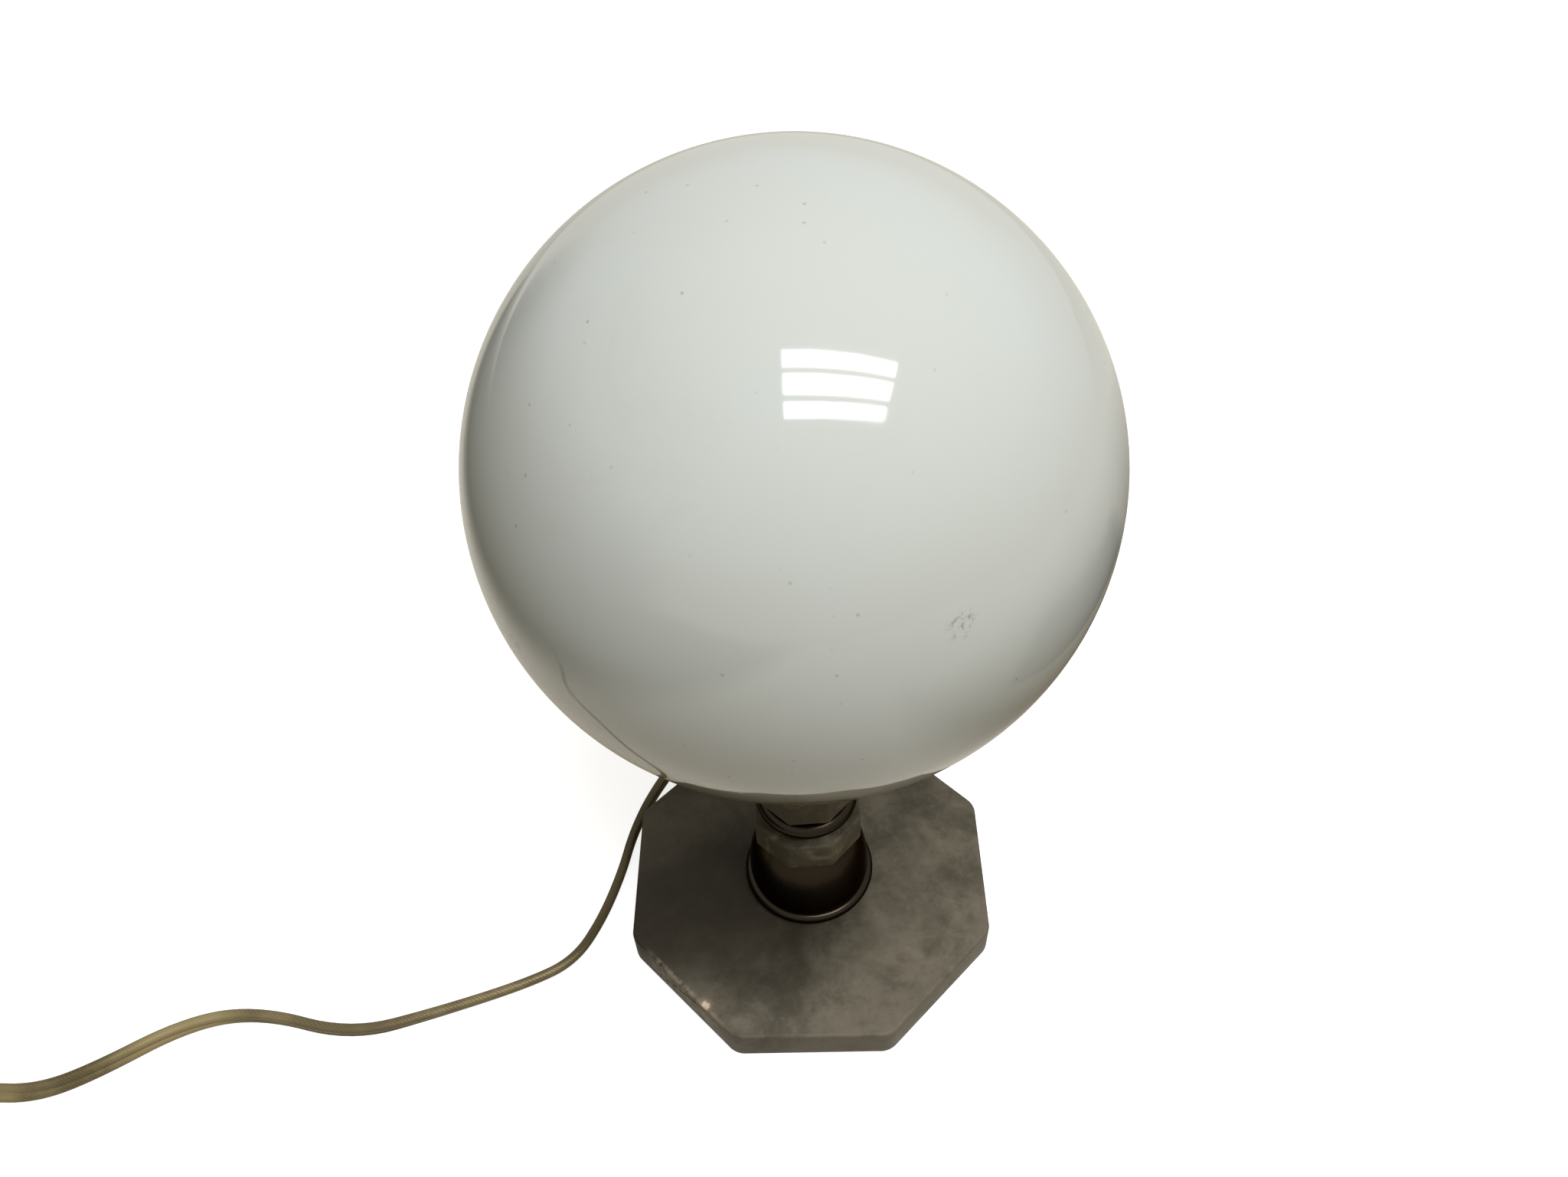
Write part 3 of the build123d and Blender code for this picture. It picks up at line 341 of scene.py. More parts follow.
def moulded_plastic():
    """Fine spark-eroded texture, with faint rubbing that changes the sheen."""
    group, given, result = new_group(
        "Moulded plastic",
        [("Vector", "Vector", None), ("Scale", "Float", 900.0), ("Color", "Color", None)],
        [("Color", "Color"), ("Roughness", "Float"), ("Height", "Float")],
    )
    vector, scale = given.outputs["Vector"], given.outputs["Scale"]
    texture = noise(group, vector, scale, 2.0, 0.5)
    rubbed = noise(group, vector, times(group, scale, 0.06), 5.0, 0.6)
    plain = given.outputs["Color"]
    darker = add(group, "HueSaturation", {"Value": 0.82, "Color": plain}).outputs["Color"]
    group.links.new(mix(group, span(group, rubbed, 0.3, 0.7), darker, plain), result.inputs["Color"])
    group.links.new(span(group, rubbed, 0.3, 0.7, 0.3, 0.46), result.inputs["Roughness"])
    group.links.new(texture, result.inputs["Height"])
    return group


def handling_marks():
    """Dust specks and soft smears that old, handled gloss surfaces carry."""
    group, given, result = new_group(
        "Handling marks",
        [("Vector", "Vector", None), ("Scale", "Float", 60.0), ("Speck Size", "Float", 0.05)],
        [("Specks", "Float"), ("Smears", "Float")],
    )
    vector, scale = given.outputs["Vector"], given.outputs["Scale"]
    cells = add(group, "TexVoronoi", {"Vector": vector, "Scale": scale, "Randomness": 1.0}, feature="F1")
    spot = span(group, cells.outputs["Distance"], given.outputs["Speck Size"], 0.0)
    picked = add(group, "SeparateColor", {"Color": cells.outputs["Color"]}).outputs["Red"]
    patch = noise(group, vector, times(group, scale, 0.08), 3.0, 0.6)
    specks = times(group, spot, span(group, picked, 0.55, 0.7), span(group, patch, 0.42, 0.58))
    group.links.new(specks, result.inputs["Specks"])
    smear = noise(group, vector, times(group, scale, 0.16), 6.0, 0.68, 0.8)
    group.links.new(span(group, smear, 0.5, 0.78), result.inputs["Smears"])
    return group


GROUPS = {}


def group_node(tree, name, links):
    """Places a shared group in a material, and makes the group the first time."""
    if name not in GROUPS:
        makers = {
            "Clouded marble": clouded_marble,
            "Aged metal": aged_metal,
            "Moulded plastic": moulded_plastic,
            "Handling marks": handling_marks,
        }
        GROUPS[name] = makers[name]()
    node = tree.nodes.new("ShaderNodeGroup")
    node.node_tree = GROUPS[name]
    for key, source in links.items():
        if isinstance(source, bpy.types.NodeSocket):
            tree.links.new(source, node.inputs[key])
        elif hasattr(source, "__len__"):
            node.inputs[key].default_value = (*source[:3], 1.0)
        else:
            node.inputs[key].default_value = source
    return node


# ---------------------------------------------------------------- materials
def new_material(name, **sockets):
    """Material with one Principled shader, whose plain sockets are set here."""
    material = bpy.data.materials.new(name)
    material.use_nodes = True
    tree = material.node_tree
    shader = tree.nodes["Principled BSDF"]
    for key, value in sockets.items():
        label = key.replace("_", " ")
        socket = shader.inputs[label if label in shader.inputs else label.upper()]
        socket.default_value = (*value, 1.0) if hasattr(value, "__len__") else value
    place = add(tree, "TexCoord").outputs["Object"]
    return material, tree, shader, place


def bump(tree, shader, height, distance, strength=1.0):
    node = add(tree, "Bump", {"Height": height, "Distance": distance, "Strength": strength})
    tree.links.new(node.outputs["Normal"], shader.inputs["Normal"])


def feed(tree, shader, node, labels):
    """Links a group's outputs to the shader's sockets of the same name."""
    for label in labels:
        tree.links.new(node.outputs[label], shader.inputs[label.replace("Color", "Base Color")])


def dot(tree, vector, direction):
    return add(tree, "VectorMath", {0: vector, 1: direction}, operation="DOT_PRODUCT").outputs["Value"]


def distance(tree, vector, point):
    return add(tree, "VectorMath", {0: vector, 1: point}, operation="DISTANCE").outputs["Value"]


# Painted shadow of the globe on the base: middle, stretch and wandering edge of its dark pool.
SHADOW_POOL_MIDDLE = (-30 * MM, -25 * MM, 0.0)  # with y stretched by SHADOW_POOL_STRETCH
SHADOW_POOL_STRETCH = (1.0, 1.8, 0.0)
SHADOW_POOL_WANDER = 46 * MM
WORN_STONE = (0.42, 0.36, 0.28)
# The chip: pale broken stone, painted brighter still as a highlight, with a pinkish painted halo round it.
CHIP_PALE_AND_HIGHLIGHT = (0.74, 0.60, 0.50)
CHIP_HALO_HIGHLIGHT = (0.36, 0.24, 0.16)


def painted_shadow_pool(tree, place, colour):
    """Painted shadow: darker colour over the left of the base, where the globe's shadow falls, with a
    wandering edge.
    """
    wander = times(tree, maths(tree, "SUBTRACT", noise(tree, place, 40.0, 5.0, 0.6), 0.5), SHADOW_POOL_WANDER)
    flat = add(tree, "VectorMath", {0: place, 1: SHADOW_POOL_STRETCH}, operation="MULTIPLY").outputs["Vector"]
    pool_reach = plus(tree, distance(tree, flat, SHADOW_POOL_MIDDLE), wander)
    return mix(tree, span(tree, pool_reach, 74 * MM, 26 * MM, 0.0, 0.85), colour, colours().base_painted_shadow)


def base_marks(tree, place, colour):
    """Painted shadow over the left of the stone, the worn pale line along its front left edge, and the
    chip, pale with a painted highlight.
    """
    # Painted shadow of the globe over the left of the base.
    colour = painted_shadow_pool(tree, place, colour)
    reach = sizes().base_across / 2
    outward = dot(tree, place, EDGE_OUTWARD)
    along = dot(tree, place, EDGE_ALONG)
    rubbed = noise(tree, place, 420.0, 4.0, 0.65)
    edge = span(tree, outward, reach - 1.9 * MM, reach - 0.4 * MM)
    start, end = span(tree, along, -20 * MM, -9 * MM), span(tree, along, 24 * MM, 8 * MM)
    worn = times(tree, edge, span(tree, rubbed, 0.36, 0.6), start, end)
    colour = mix(tree, times(tree, worn, 0.6), colour, WORN_STONE)
    ragged = times(tree, maths(tree, "SUBTRACT", rubbed, 0.5), 2.4 * MM)
    chip = plus(tree, distance(tree, place, CHIP), ragged)
    # Chip painted pale and pinkish: broken stone with a painted highlight.
    colour = mix(tree, span(tree, chip, 3.4 * MM, 1.4 * MM, 0.0, 0.5), colour, CHIP_HALO_HIGHLIGHT)
    return mix(tree, span(tree, chip, 1.7 * MM, 0.8 * MM), colour, CHIP_PALE_AND_HIGHLIGHT)


MARBLE_RELIEF = 0.05 * MM
PLASTIC_RELIEF = 0.012 * MM


def marble_material(name, pale, dark, vein, scale, vein_amount, marks=None):
    """Polished stone; marks adds what a piece's own surface carries."""
    material, tree, shader, place = new_material(name, IOR=1.5, Specular_IOR_Level=0.13)
    given = {"Vector": place, "Scale": scale, "Pale": pale, "Dark": dark, "Vein": vein}
    stone = group_node(tree, "Clouded marble", {**given, "Vein Amount": vein_amount})
    feed(tree, shader, stone, ("Color", "Roughness"))
    if marks:
        tree.links.new(marks(tree, place, stone.outputs["Color"]), shader.inputs["Base Color"])
    bump(tree, shader, stone.outputs["Height"], MARBLE_RELIEF)
    return material


def metal_material(name, metal, skin, wear, scale, relief=0.03 * MM, **sockets):
    """Metal under a skin that has worn through in places."""
    material, tree, shader, place = new_material(name, **sockets)
    given = {"Vector": place, "Scale": scale, "Metal": metal, "Skin": skin, "Wear": wear}
    surface = group_node(tree, "Aged metal", given)
    feed(tree, shader, surface, ("Color", "Roughness", "Metallic"))
    bump(tree, shader, surface.outputs["Height"], relief)
    return material


def plastic_material(name, colour, scale, coat):
    """Moulded plastic with a fine texture."""
    material, tree, shader, place = new_material(name, IOR=1.5, Coat_Weight=coat)
    surface = group_node(tree, "Moulded plastic", {"Vector": place, "Scale": scale, "Color": colour})
    feed(tree, shader, surface, ("Color", "Roughness"))
    bump(tree, shader, surface.outputs["Height"], PLASTIC_RELIEF)
    return material


def mottled_material(name, grain, colour, roughness, relief, mottle=(0.3, 0.7), **sockets):
    """Surface whose colour and roughness follow one noise: grain is its scale, detail and
    roughness, and colour and roughness are given for its low and its high values."""
    material, tree, shader, place = new_material(name, **sockets)
    mottling = noise(tree, place, *grain)
    tree.links.new(mix(tree, span(tree, mottling, *mottle), *colour), shader.inputs["Base Color"])
    tree.links.new(span(tree, mottling, 0.3, 0.7, *roughness), shader.inputs["Roughness"])
    bump(tree, shader, mottling, relief)
    return material


SCUFFS = ((31, -65, 212), (-58, -47, 190))  # middles of two scuffed spots on the globe, millimetres
SMEAR_TONE = (0.42, 0.39, 0.29)
SPECK_TONE = (0.14, 0.12, 0.08)
SCUFF_TONE = (0.12, 0.105, 0.07)


def opal_material():
    """Cased opal glass: a milky body under a clear gloss, with specks, scuffs and soft smears."""
    material, tree, shader, place = new_material("opal_glass", IOR=1.5)
    marks = group_node(tree, "Handling marks", {"Vector": place, "Scale": 230.0, "Speck Size": 0.13})
    scuffed = span(tree, noise(tree, place, 640.0, 5.0, 0.7), 0.50, 0.60)
    tint = noise(tree, place, 14.0, 3.0, 0.5)
    body = colours().opal
    dull = (body[0] * 0.97, body[1] * 0.955, body[2] * 0.91)
    milk = mix(tree, span(tree, tint, 0.38, 0.62, 0.0, 0.5), body, dull)
    milk = mix(tree, times(tree, marks.outputs["Smears"], 0.07), milk, SMEAR_TONE)
    milk = mix(tree, times(tree, marks.outputs["Specks"], 0.5), milk, SPECK_TONE)
    for centre in SCUFFS:
        near = span(tree, distance(tree, place, metres(centre)), 4.2 * MM, 0.8 * MM)
        milk = mix(tree, times(tree, near, scuffed, 0.6), milk, SCUFF_TONE)
    tree.links.new(milk, shader.inputs["Base Color"])
    rough = span(tree, marks.outputs["Smears"], 0.0, 1.0, 0.06, 0.14)
    tree.links.new(rough, shader.inputs["Roughness"])
    bump(tree, shader, noise(tree, place, 22.0, 2.0, 0.4), 0.10 * MM, 0.3)
    return material


def felt_material():
    greens = ((0.02, 0.03, 0.02), (0.05, 0.07, 0.045))
    sheen = {"Sheen_Weight": 0.5, "Sheen_Roughness": 0.5}
    return mottled_material("green_felt", (1400.0, 4.0, 0.7), greens, (0.85, 1.0), 0.2 * MM, **sheen)


def porcelain_material():
    creams = ((0.66, 0.63, 0.56), (0.78, 0.76, 0.70))
    return mottled_material("porcelain", (300.0, 4.0, 0.6), creams, (0.35, 0.55), 0.03 * MM, IOR=1.5)


def bulb_material():
    """Frosted bulb glass."""
    whites = ((0.74, 0.74, 0.70), (0.82, 0.82, 0.79))
    return mottled_material("frosted_bulb", (900.0, 3.0, 0.6), whites, (0.3, 0.42), 0.02 * MM, IOR=1.45)


def rubber_material():
    """Black rubber with a little dust on it."""
    dusty = ((0.02, 0.02, 0.02), (0.07, 0.065, 0.06))
    return mottled_material(
        "seat_rubber", (500.0, 4.0, 0.6), dusty, (0.6, 0.85), 0.03 * MM, mottle=(0.45, 0.75), IOR=1.5
    )


# Stretches of the cord that are painted lighter or darker: middle and radius in millimetres, strength,
# shade. The first is a painted highlight where the cord lies flatter, the second is painted shade near the
# base under the globe, and the third is only darker.
CORD_PAINTED_STRETCHES = (
    ((-203, -48, 3), 26, 0.75, 2.3),
    ((-66, 10, 3), 62, 0.7, 0.35),
    ((-140, -49, 3), 16, 0.5, 0.7),
)


def cord_material():
    """Clear gold-brown insulation, with the copper strands' lay showing through."""
    gloss = {"IOR": 1.45, "Specular_IOR_Level": 0.35, "Specular_Tint": (1.0, 0.85, 0.6)}
    material, tree, shader, place = new_material("cord_insulation", **gloss)
    body = colours().cord
    strands = add(
        tree,
        "TexWave",
        {"Vector": place, "Scale": 420.0, "Distortion": 2.5, "Detail": 2.0, "Detail Scale": 1.5},
        wave_type="BANDS",
        bands_direction="DIAGONAL",
    ).outputs["Fac"]
    cloud = noise(tree, place, 38.0, 4.0, 0.6)
    deep = tuple(0.66 * value for value in body)
    bright = tuple(min(1.0, 1.9 * value) for value in body)
    tone = mix(tree, span(tree, strands, 0.1, 0.9, 0.2, 0.8), deep, body)
    tone = mix(tree, span(tree, cloud, 0.42, 0.66, 0.0, 0.62), tone, bright)
    # Painted highlight and painted shade along stretches of the cord.
    for centre, radius, strength, shade in CORD_PAINTED_STRETCHES:
        away = distance(tree, place, metres(centre))
        near = span(tree, away, radius * MM, 0.3 * radius * MM, 0.0, strength)
        tone = mix(tree, near, tone, tuple(shade * value for value in body))
    tree.links.new(tone, shader.inputs["Base Color"])
    tree.links.new(span(tree, cloud, 0.3, 0.7, 0.26, 0.38), shader.inputs["Roughness"])
    tree.links.new(span(tree, strands, 0.0, 1.0, 0.0, 0.12), shader.inputs["Metallic"])
    bump(tree, shader, strands, 0.02 * MM)
    return material


BASE_VEIN = (0.36, 0.33, 0.27)
BLOCK_VEIN = (0.5, 0.46, 0.34)
BRASS_EDGE = (0.42, 0.35, 0.27)  # tint of the patina where it is seen along its face
BRASS_SKIN = (0.30, 0.20, 0.08)


def base_marble():
    paint = colours()
    return marble_material(
        "base_marble",
        paint.base_pale,
        paint.base_dark,
        BASE_VEIN,
        scale=42.0,
        vein_amount=0.1,
        marks=base_marks,
    )


def block_marble():
    paint = colours()
    return marble_material(
        "block_marble", paint.block_pale, paint.block_dark, BLOCK_VEIN, scale=90.0, vein_amount=0.25
    )


def dark_brass():
    """Turned brass that is nearly all under its patina."""
    paint = colours()
    worn = {"wear": 0.05, "scale": 130.0, "relief": 0.004 * MM}
    return metal_material("dark_brass", paint.brass, paint.patina, **worn, Specular_Tint=BRASS_EDGE)


def bare_brass():
    return metal_material("bare_brass", colours().brass, BRASS_SKIN, wear=0.8, scale=160.0)


# Finishes that need no more than their numbers. Metals: material's name, metal, skin, wear and
# scale. Plastics: material's name, colour, scale and clear coat.
METALS = {
    "steel": ("zinc_steel", (0.60, 0.59, 0.56), (0.40, 0.39, 0.36), 0.8, 200.0),
    "bulb_metal": ("bulb_metal", (0.78, 0.77, 0.75), (0.6, 0.59, 0.56), 0.9, 200.0),
    "pins": ("nickel_pins", (0.66, 0.64, 0.58), (0.5, 0.48, 0.42), 0.9, 220.0),
}
PLASTICS = {
    "black_glass": ("black_insulator", (0.012, 0.012, 0.014), 500.0, 0.0),
    "holder_plastic": ("holder_plastic", (0.035, 0.024, 0.016), 700.0, 0.0),
    "switch_plastic": ("switch_plastic", (0.13, 0.095, 0.045), 900.0, 0.3),
    "rocker_plastic": ("rocker_plastic", (0.07, 0.05, 0.025), 900.0, 0.3),
    "relief_plastic": ("relief_plastic", (0.09, 0.07, 0.035), 900.0, 0.0),
    "tie": ("tie_plastic", (0.05, 0.045, 0.04), 900.0, 0.0),
}
SPECIAL = {
    "opal": opal_material,
    "felt": felt_material,
    "porcelain": porcelain_material,
    "bulb": bulb_material,
    "rubber": rubber_material,
    "cord": cord_material,
    "base_marble": base_marble,
    "block_marble": block_marble,
    "dark_brass": dark_brass,
    "brass": bare_brass,
}
MATERIALS = {}


def finish_of(name):
    """The material of that name, made the first time it is asked for."""
    if name not in MATERIALS:
        if name in METALS:
            MATERIALS[name] = metal_material(*METALS[name])
        elif name in PLASTICS:
            MATERIALS[name] = plastic_material(*PLASTICS[name])
        else:
            MATERIALS[name] = SPECIAL[name]()
    return MATERIALS[name]


# ---------------------------------------------------------------- mesh helpers
def piece(name, shape, body, finish, replaces=(), smooth=35.0, flat_above=1e6):
    """Turns a bmesh into a finished piece that rides on a body. Faces larger than flat_above,
    in square millimetres, are shaded flat, so that no rounding bleeds into a ground face."""
    mesh = bpy.data.meshes.new(name)
    shape.to_mesh(mesh)
    shape.free()
    mesh.polygons.foreach_set("use_smooth", [face.area < flat_above * MM * MM for face in mesh.polygons])
    mesh.set_sharp_from_angle(angle=radians(smooth))
    obj = bpy.data.objects.new(name, mesh)
    bpy.context.collection.objects.link(obj)
    mesh.materials.append(finish_of(finish))
    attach(obj, body)
    if replaces:
        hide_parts(*replaces)
    return obj


def dress(finish, *nodes):
    """Gives CAD nodes that stay their finish."""
    for node in nodes:
        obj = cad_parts[node]
        obj.data.materials.clear()
        obj.data.materials.append(finish_of(finish))


def arc(centre, radius, start, end, count):
    """Points on an arc in the radius-height plane; angles in degrees."""
    return [
        (
            centre[0] + radius * cos(radians(start + (end - start) * i / count)),
            centre[1] + radius * sin(radians(start + (end - start) * i / count)),
        )
        for i in range(count + 1)
    ]


def through(first, middle, last, count):
    """Points on the arc through three points, ends included."""
    (ax, ay), (bx, by), (cx, cy) = first, middle, last
    d = 2 * (ax * (by - cy) + bx * (cy - ay) + cx * (ay - by))
    a, b, c = ax * ax + ay * ay, bx * bx + by * by, cx * cx + cy * cy
    centre = (
        (a * (by - cy) + b * (cy - ay) + c * (ay - by)) / d,
        (a * (cx - bx) + b * (ax - cx) + c * (bx - ax)) / d,
    )
    radius = sqrt((ax - centre[0]) ** 2 + (ay - centre[1]) ** 2)
    start, end = (degrees(atan2(y - centre[1], x - centre[0])) for x, y in (first, last))
    return arc(centre, radius, start, end, count)


CORNER_STEPS = 5


def rounded(points, closed=True):
    """Radius-height outline whose corners are rounded; each point is (r, z, rounding)."""
    result = []
    count = len(points)
    for index, (x, y, r) in enumerate(points):
        if r <= 0 or (not closed and index in (0, count - 1)):
            result.append((x, y))
            continue
        here = Vector((x, y))
        before = Vector(points[index - 1][:2]) - here
        after = Vector(points[(index + 1) % count][:2]) - here
        half = before.angle(after) / 2
        reach = min(r / abs(sin(half) / cos(half)), 0.48 * before.length, 0.48 * after.length)
        start, end = here + before.normalized() * reach, here + after.normalized() * reach
        for step in range(CORNER_STEPS + 1):
            t = step / CORNER_STEPS
            point = (1 - t) ** 2 * start + 2 * t * (1 - t) * here + t**2 * end
            result.append((point.x, point.y))
    return result


def edge_line(shape, places, closed=True):
    """Adds a line of edges from place to place, and returns its vertices and its edges."""
    verts = [shape.verts.new(place) for place in places]
    pairs = list(zip(verts, verts[1:]))
    if closed:
        pairs.append((verts[-1], verts[0]))
    return verts, [shape.edges.new(pair) for pair in pairs]


def bridge_round(shape, loops):
    """Bridges each closed line of edges to the next one, and the last to the first."""
    for first, second in zip(loops, [*loops[1:], loops[0]]):
        bmesh.ops.bridge_loops(shape, edges=first + second)
    bmesh.ops.recalc_face_normals(shape, faces=shape.faces)


def spun(profile, steps, closed=True):
    """Spins a radius-height profile about the lamp's axis."""
    shape = bmesh.new()
    verts, edges = edge_line(shape, [(r, 0.0, z) for r, z in profile], closed)
    bmesh.ops.spin(
        shape,
        geom=verts + edges,
        cent=(0, 0, 0),
        axis=(0, 0, 1),
        dvec=(0, 0, 0),
        angle=2 * pi,
        steps=steps,
        use_merge=True,
    )
    bmesh.ops.remove_doubles(shape, verts=shape.verts, dist=1e-7)
    bmesh.ops.recalc_face_normals(shape, faces=shape.faces)
    return shape


def bevelled(shape, edges, offset, segments):
    """Rounds edges off."""
    bmesh.ops.bevel(
        shape,
        geom=edges,
        offset=offset,
        offset_type="OFFSET",
        segments=segments,
        profile=0.5,
        affect="EDGES",
        clamp_overlap=True,
        material=-1,
    )


def at_height(edges, z):
    """Those of the edges that lie level at a height."""
    return [e for e in edges if all(abs(v.co.z - z) < 0.001 * MM for v in e.verts)]


def circle_edges(shape, radius, z, count, turn=Matrix()):
    """Adds a level circle of edges about the lamp's axis."""
    place = Matrix.Translation((0, 0, z)) @ turn
    made = bmesh.ops.create_circle(shape, cap_ends=False, radius=radius, segments=count, matrix=place)
    return list({e for v in made["verts"] for e in v.link_edges})


# ---------------------------------------------------------------- stage
# The camera, solved from the photograph.
CAMERA_PLACE = (3.99 * MM, -212.8 * MM, 382.98 * MM)
CAMERA_PITCH = radians(47.256)
CAMERA_YAW = radians(-2.027)
CAMERA_ROLL = radians(3.017)
PHOTO_WIDTH = 2048.0  # pixels
FOCAL_LENGTH = 1612.0  # pixels of the photograph
SENSOR = 36.0  # millimetres


def place_camera():
    """Camera at the photograph's angle: its axes come from pitch, yaw and roll."""
    forward = Vector(
        (sin(CAMERA_YAW) * cos(CAMERA_PITCH), cos(CAMERA_YAW) * cos(CAMERA_PITCH), -sin(CAMERA_PITCH))
    )
    level = Vector((cos(CAMERA_YAW), -sin(CAMERA_YAW), 0))
    down = forward.cross(level)
    right = cos(CAMERA_ROLL) * level + sin(CAMERA_ROLL) * down
    down = cos(CAMERA_ROLL) * down - sin(CAMERA_ROLL) * level
    camera = bpy.data.cameras.new("camera")
    camera.sensor_width = SENSOR
    camera.lens = SENSOR * FOCAL_LENGTH / PHOTO_WIDTH
    camera.clip_start = 0.01
    camera.clip_end = 20
    eye = bpy.data.objects.new("camera", camera)
    axes = Matrix((right, -down, -forward)).transposed()
    eye.matrix_world = Matrix.Translation(CAMERA_PLACE) @ axes.to_4x4()
    bpy.context.collection.objects.link(eye)
    bpy.context.scene.camera = eye


def ceiling_panel(name, place, size, strength):
    """Rectangular lamp that shines straight down."""
    lamp = bpy.data.lights.new(name, "AREA")
    lamp.shape = "RECTANGLE"
    lamp.size, lamp.size_y = size
    lamp.energy = strength
    obj = bpy.data.objects.new(name, lamp)
    obj.matrix_world = Matrix.Translation(place)
    bpy.context.collection.objects.link(obj)


def plate(name, centre, across, along):
    """Flat stage panel from its centre and its two half-sides."""
    shape = bmesh.new()
    bmesh.ops.create_grid(shape, x_segments=1, y_segments=1, size=1.0)
    side, up = Vector(across), Vector(along)
    axes = Matrix((side, up, side.cross(up).normalized())).transposed().to_4x4()
    bmesh.ops.transform(shape, matrix=Matrix.Translation(centre) @ axes, verts=shape.verts)
    mesh = bpy.data.meshes.new(name)
    shape.to_mesh(mesh)
    shape.free()
    obj = bpy.data.objects.new(name, mesh)
    bpy.context.collection.objects.link(obj)
    return obj


def backdrop_switch(tree):
    """1 for rays that should see the pale surroundings, 0 for light that bounces off them."""
    path = add(tree, "LightPath")
    seen = maths(tree, "MAXIMUM", path.outputs["Is Camera Ray"], path.outputs["Is Glossy Ray"])
    return maths(tree, "MAXIMUM", seen, path.outputs["Is Transmission Ray"])


def stage_material(name):
    """Material with nothing in it but its output."""
    material = bpy.data.materials.new(name)
    material.use_nodes = True
    tree = material.node_tree
    tree.nodes.clear()
    return material, tree, add(tree, "OutputMaterial")


FLOOR_HALF = 0.95  # metres
FLOOR_PALE = (0.80, 0.80, 0.80)
FLOOR_MIRRORED = (0.16, 0.13, 0.06)  # glow of the floor in the glass and the metal
FLOOR_BOUNCE = (0.13, 0.10, 0.05)  # what the floor throws back on the lamp


def floor_material():
    """Pale floor that keeps the lamp's shadow and throws little light back up."""
    material, tree, output = stage_material("pale_floor")
    pale = add(tree, "BsdfDiffuse", {"Color": (*FLOOR_PALE, 1)})
    camera = add(tree, "LightPath").outputs["Is Camera Ray"]
    glow = add(tree, "Emission", {"Color": mix(tree, camera, FLOOR_MIRRORED, FLOOR_PALE), "Strength": 1.0})
    shown = add(tree, "AddShader", {0: pale.outputs[0], 1: glow.outputs[0]})
    dull = add(tree, "BsdfDiffuse", {"Color": (*FLOOR_BOUNCE, 1)})
    both = add(tree, "MixShader", {0: backdrop_switch(tree), 1: dull.outputs[0], 2: shown.outputs[0]})
    tree.links.new(both.outputs[0], output.inputs["Surface"])
    return material


def card_material(name, colour, edge, across, along, fade, rise):
    """Dull dark card that fades out away from the middle of its edge; fade is its solid share
    across and along. It comes in over the first part, rise, of its way across."""
    material, tree, output = stage_material(name)
    place = add(tree, "TexCoord").outputs["Object"]
    middle = add(tree, "VectorMath", {0: place, 1: edge}, operation="SUBTRACT").outputs["Vector"]
    solid = 1.0
    for side, share in ((across, fade[0]), (along, fade[1])):
        reach = dot(tree, middle, tuple(Vector(side) / Vector(side).length_squared))
        solid = times(tree, solid, span(tree, maths(tree, "ABSOLUTE", reach), 1.0, share))
        if rise and side is across:
            solid = times(tree, solid, span(tree, reach, 0.0, rise))
    dull = add(tree, "BsdfDiffuse", {"Color": (*colour, 1)})
    clear = add(tree, "BsdfTransparent")
    both = add(tree, "MixShader", {0: solid, 1: clear.outputs[0], 2: dull.outputs[0]})
    tree.links.new(both.outputs[0], output.inputs["Surface"])
    return material


def dark_card(name, edge, across, along, colour, fade, rise=0.0, shades=False):
    """Card beside the lamp that gives the glass dark edges, and that the camera doesn't see. It
    goes out from the middle of one edge, the whole way across and half its length along to each
    side. One that shades also keeps the sky's light off the lamp."""
    half = Vector(across) / 2
    card = plate(name, Vector(edge) + half, half, along)
    card.data.materials.append(card_material(name, colour, edge, across, along, fade, rise))
    card.visible_camera = False
    card.visible_transmission = False
    card.visible_diffuse = shades
    card.visible_shadow = shades


WHITE = (1.0, 1.0, 1.0)
HORIZON = (0.80, 0.76, 0.68)  # seen low down in the glass and the metal
HORIZON_RISE = 0.4  # how high the horizon's tone reaches, as the z of a direction
WALL_LIGHT = (0.205, 0.17, 0.11)
CEILING_LIGHT = (0.21, 0.205, 0.185)


def set_world():
    """White for the camera, graded in the glass and the metal, and dim and warm as a light."""
    world = bpy.data.worlds.new("studio")
    bpy.context.scene.world = world
    world.use_nodes = True
    tree = world.node_tree
    tree.nodes.clear()
    output = add(tree, "OutputWorld")
    direction = add(tree, "TexCoord").outputs["Generated"]
    rise = add(tree, "SeparateXYZ", {0: direction}).outputs["Z"]
    light = add(tree, "Background", {"Color": mix(tree, rise, WALL_LIGHT, CEILING_LIGHT), "Strength": 1.0})
    camera = add(tree, "LightPath").outputs["Is Camera Ray"]
    mirrored = mix(tree, span(tree, rise, 0.0, HORIZON_RISE), HORIZON, WHITE)
    shown = add(tree, "Background", {"Color": mix(tree, camera, mirrored, WHITE), "Strength": 1.0})
    both = add(tree, "MixShader", {0: backdrop_switch(tree), 1: light.outputs[0], 2: shown.outputs[0]})
    tree.links.new(both.outputs[0], output.inputs["Surface"])


# The ceiling light that the globe mirrors: the panels of three tubes side by side, in metres.
TUBE_LEVEL = 17.2  # radiance of a panel
TUBE_HEIGHT = 1.9
TUBE_X = 0.51
TUBE_LENGTH = 1.12
TUBES = ((-0.37, 0.17), (-0.628, 0.22), (-0.912, 0.19))  # y and width of each

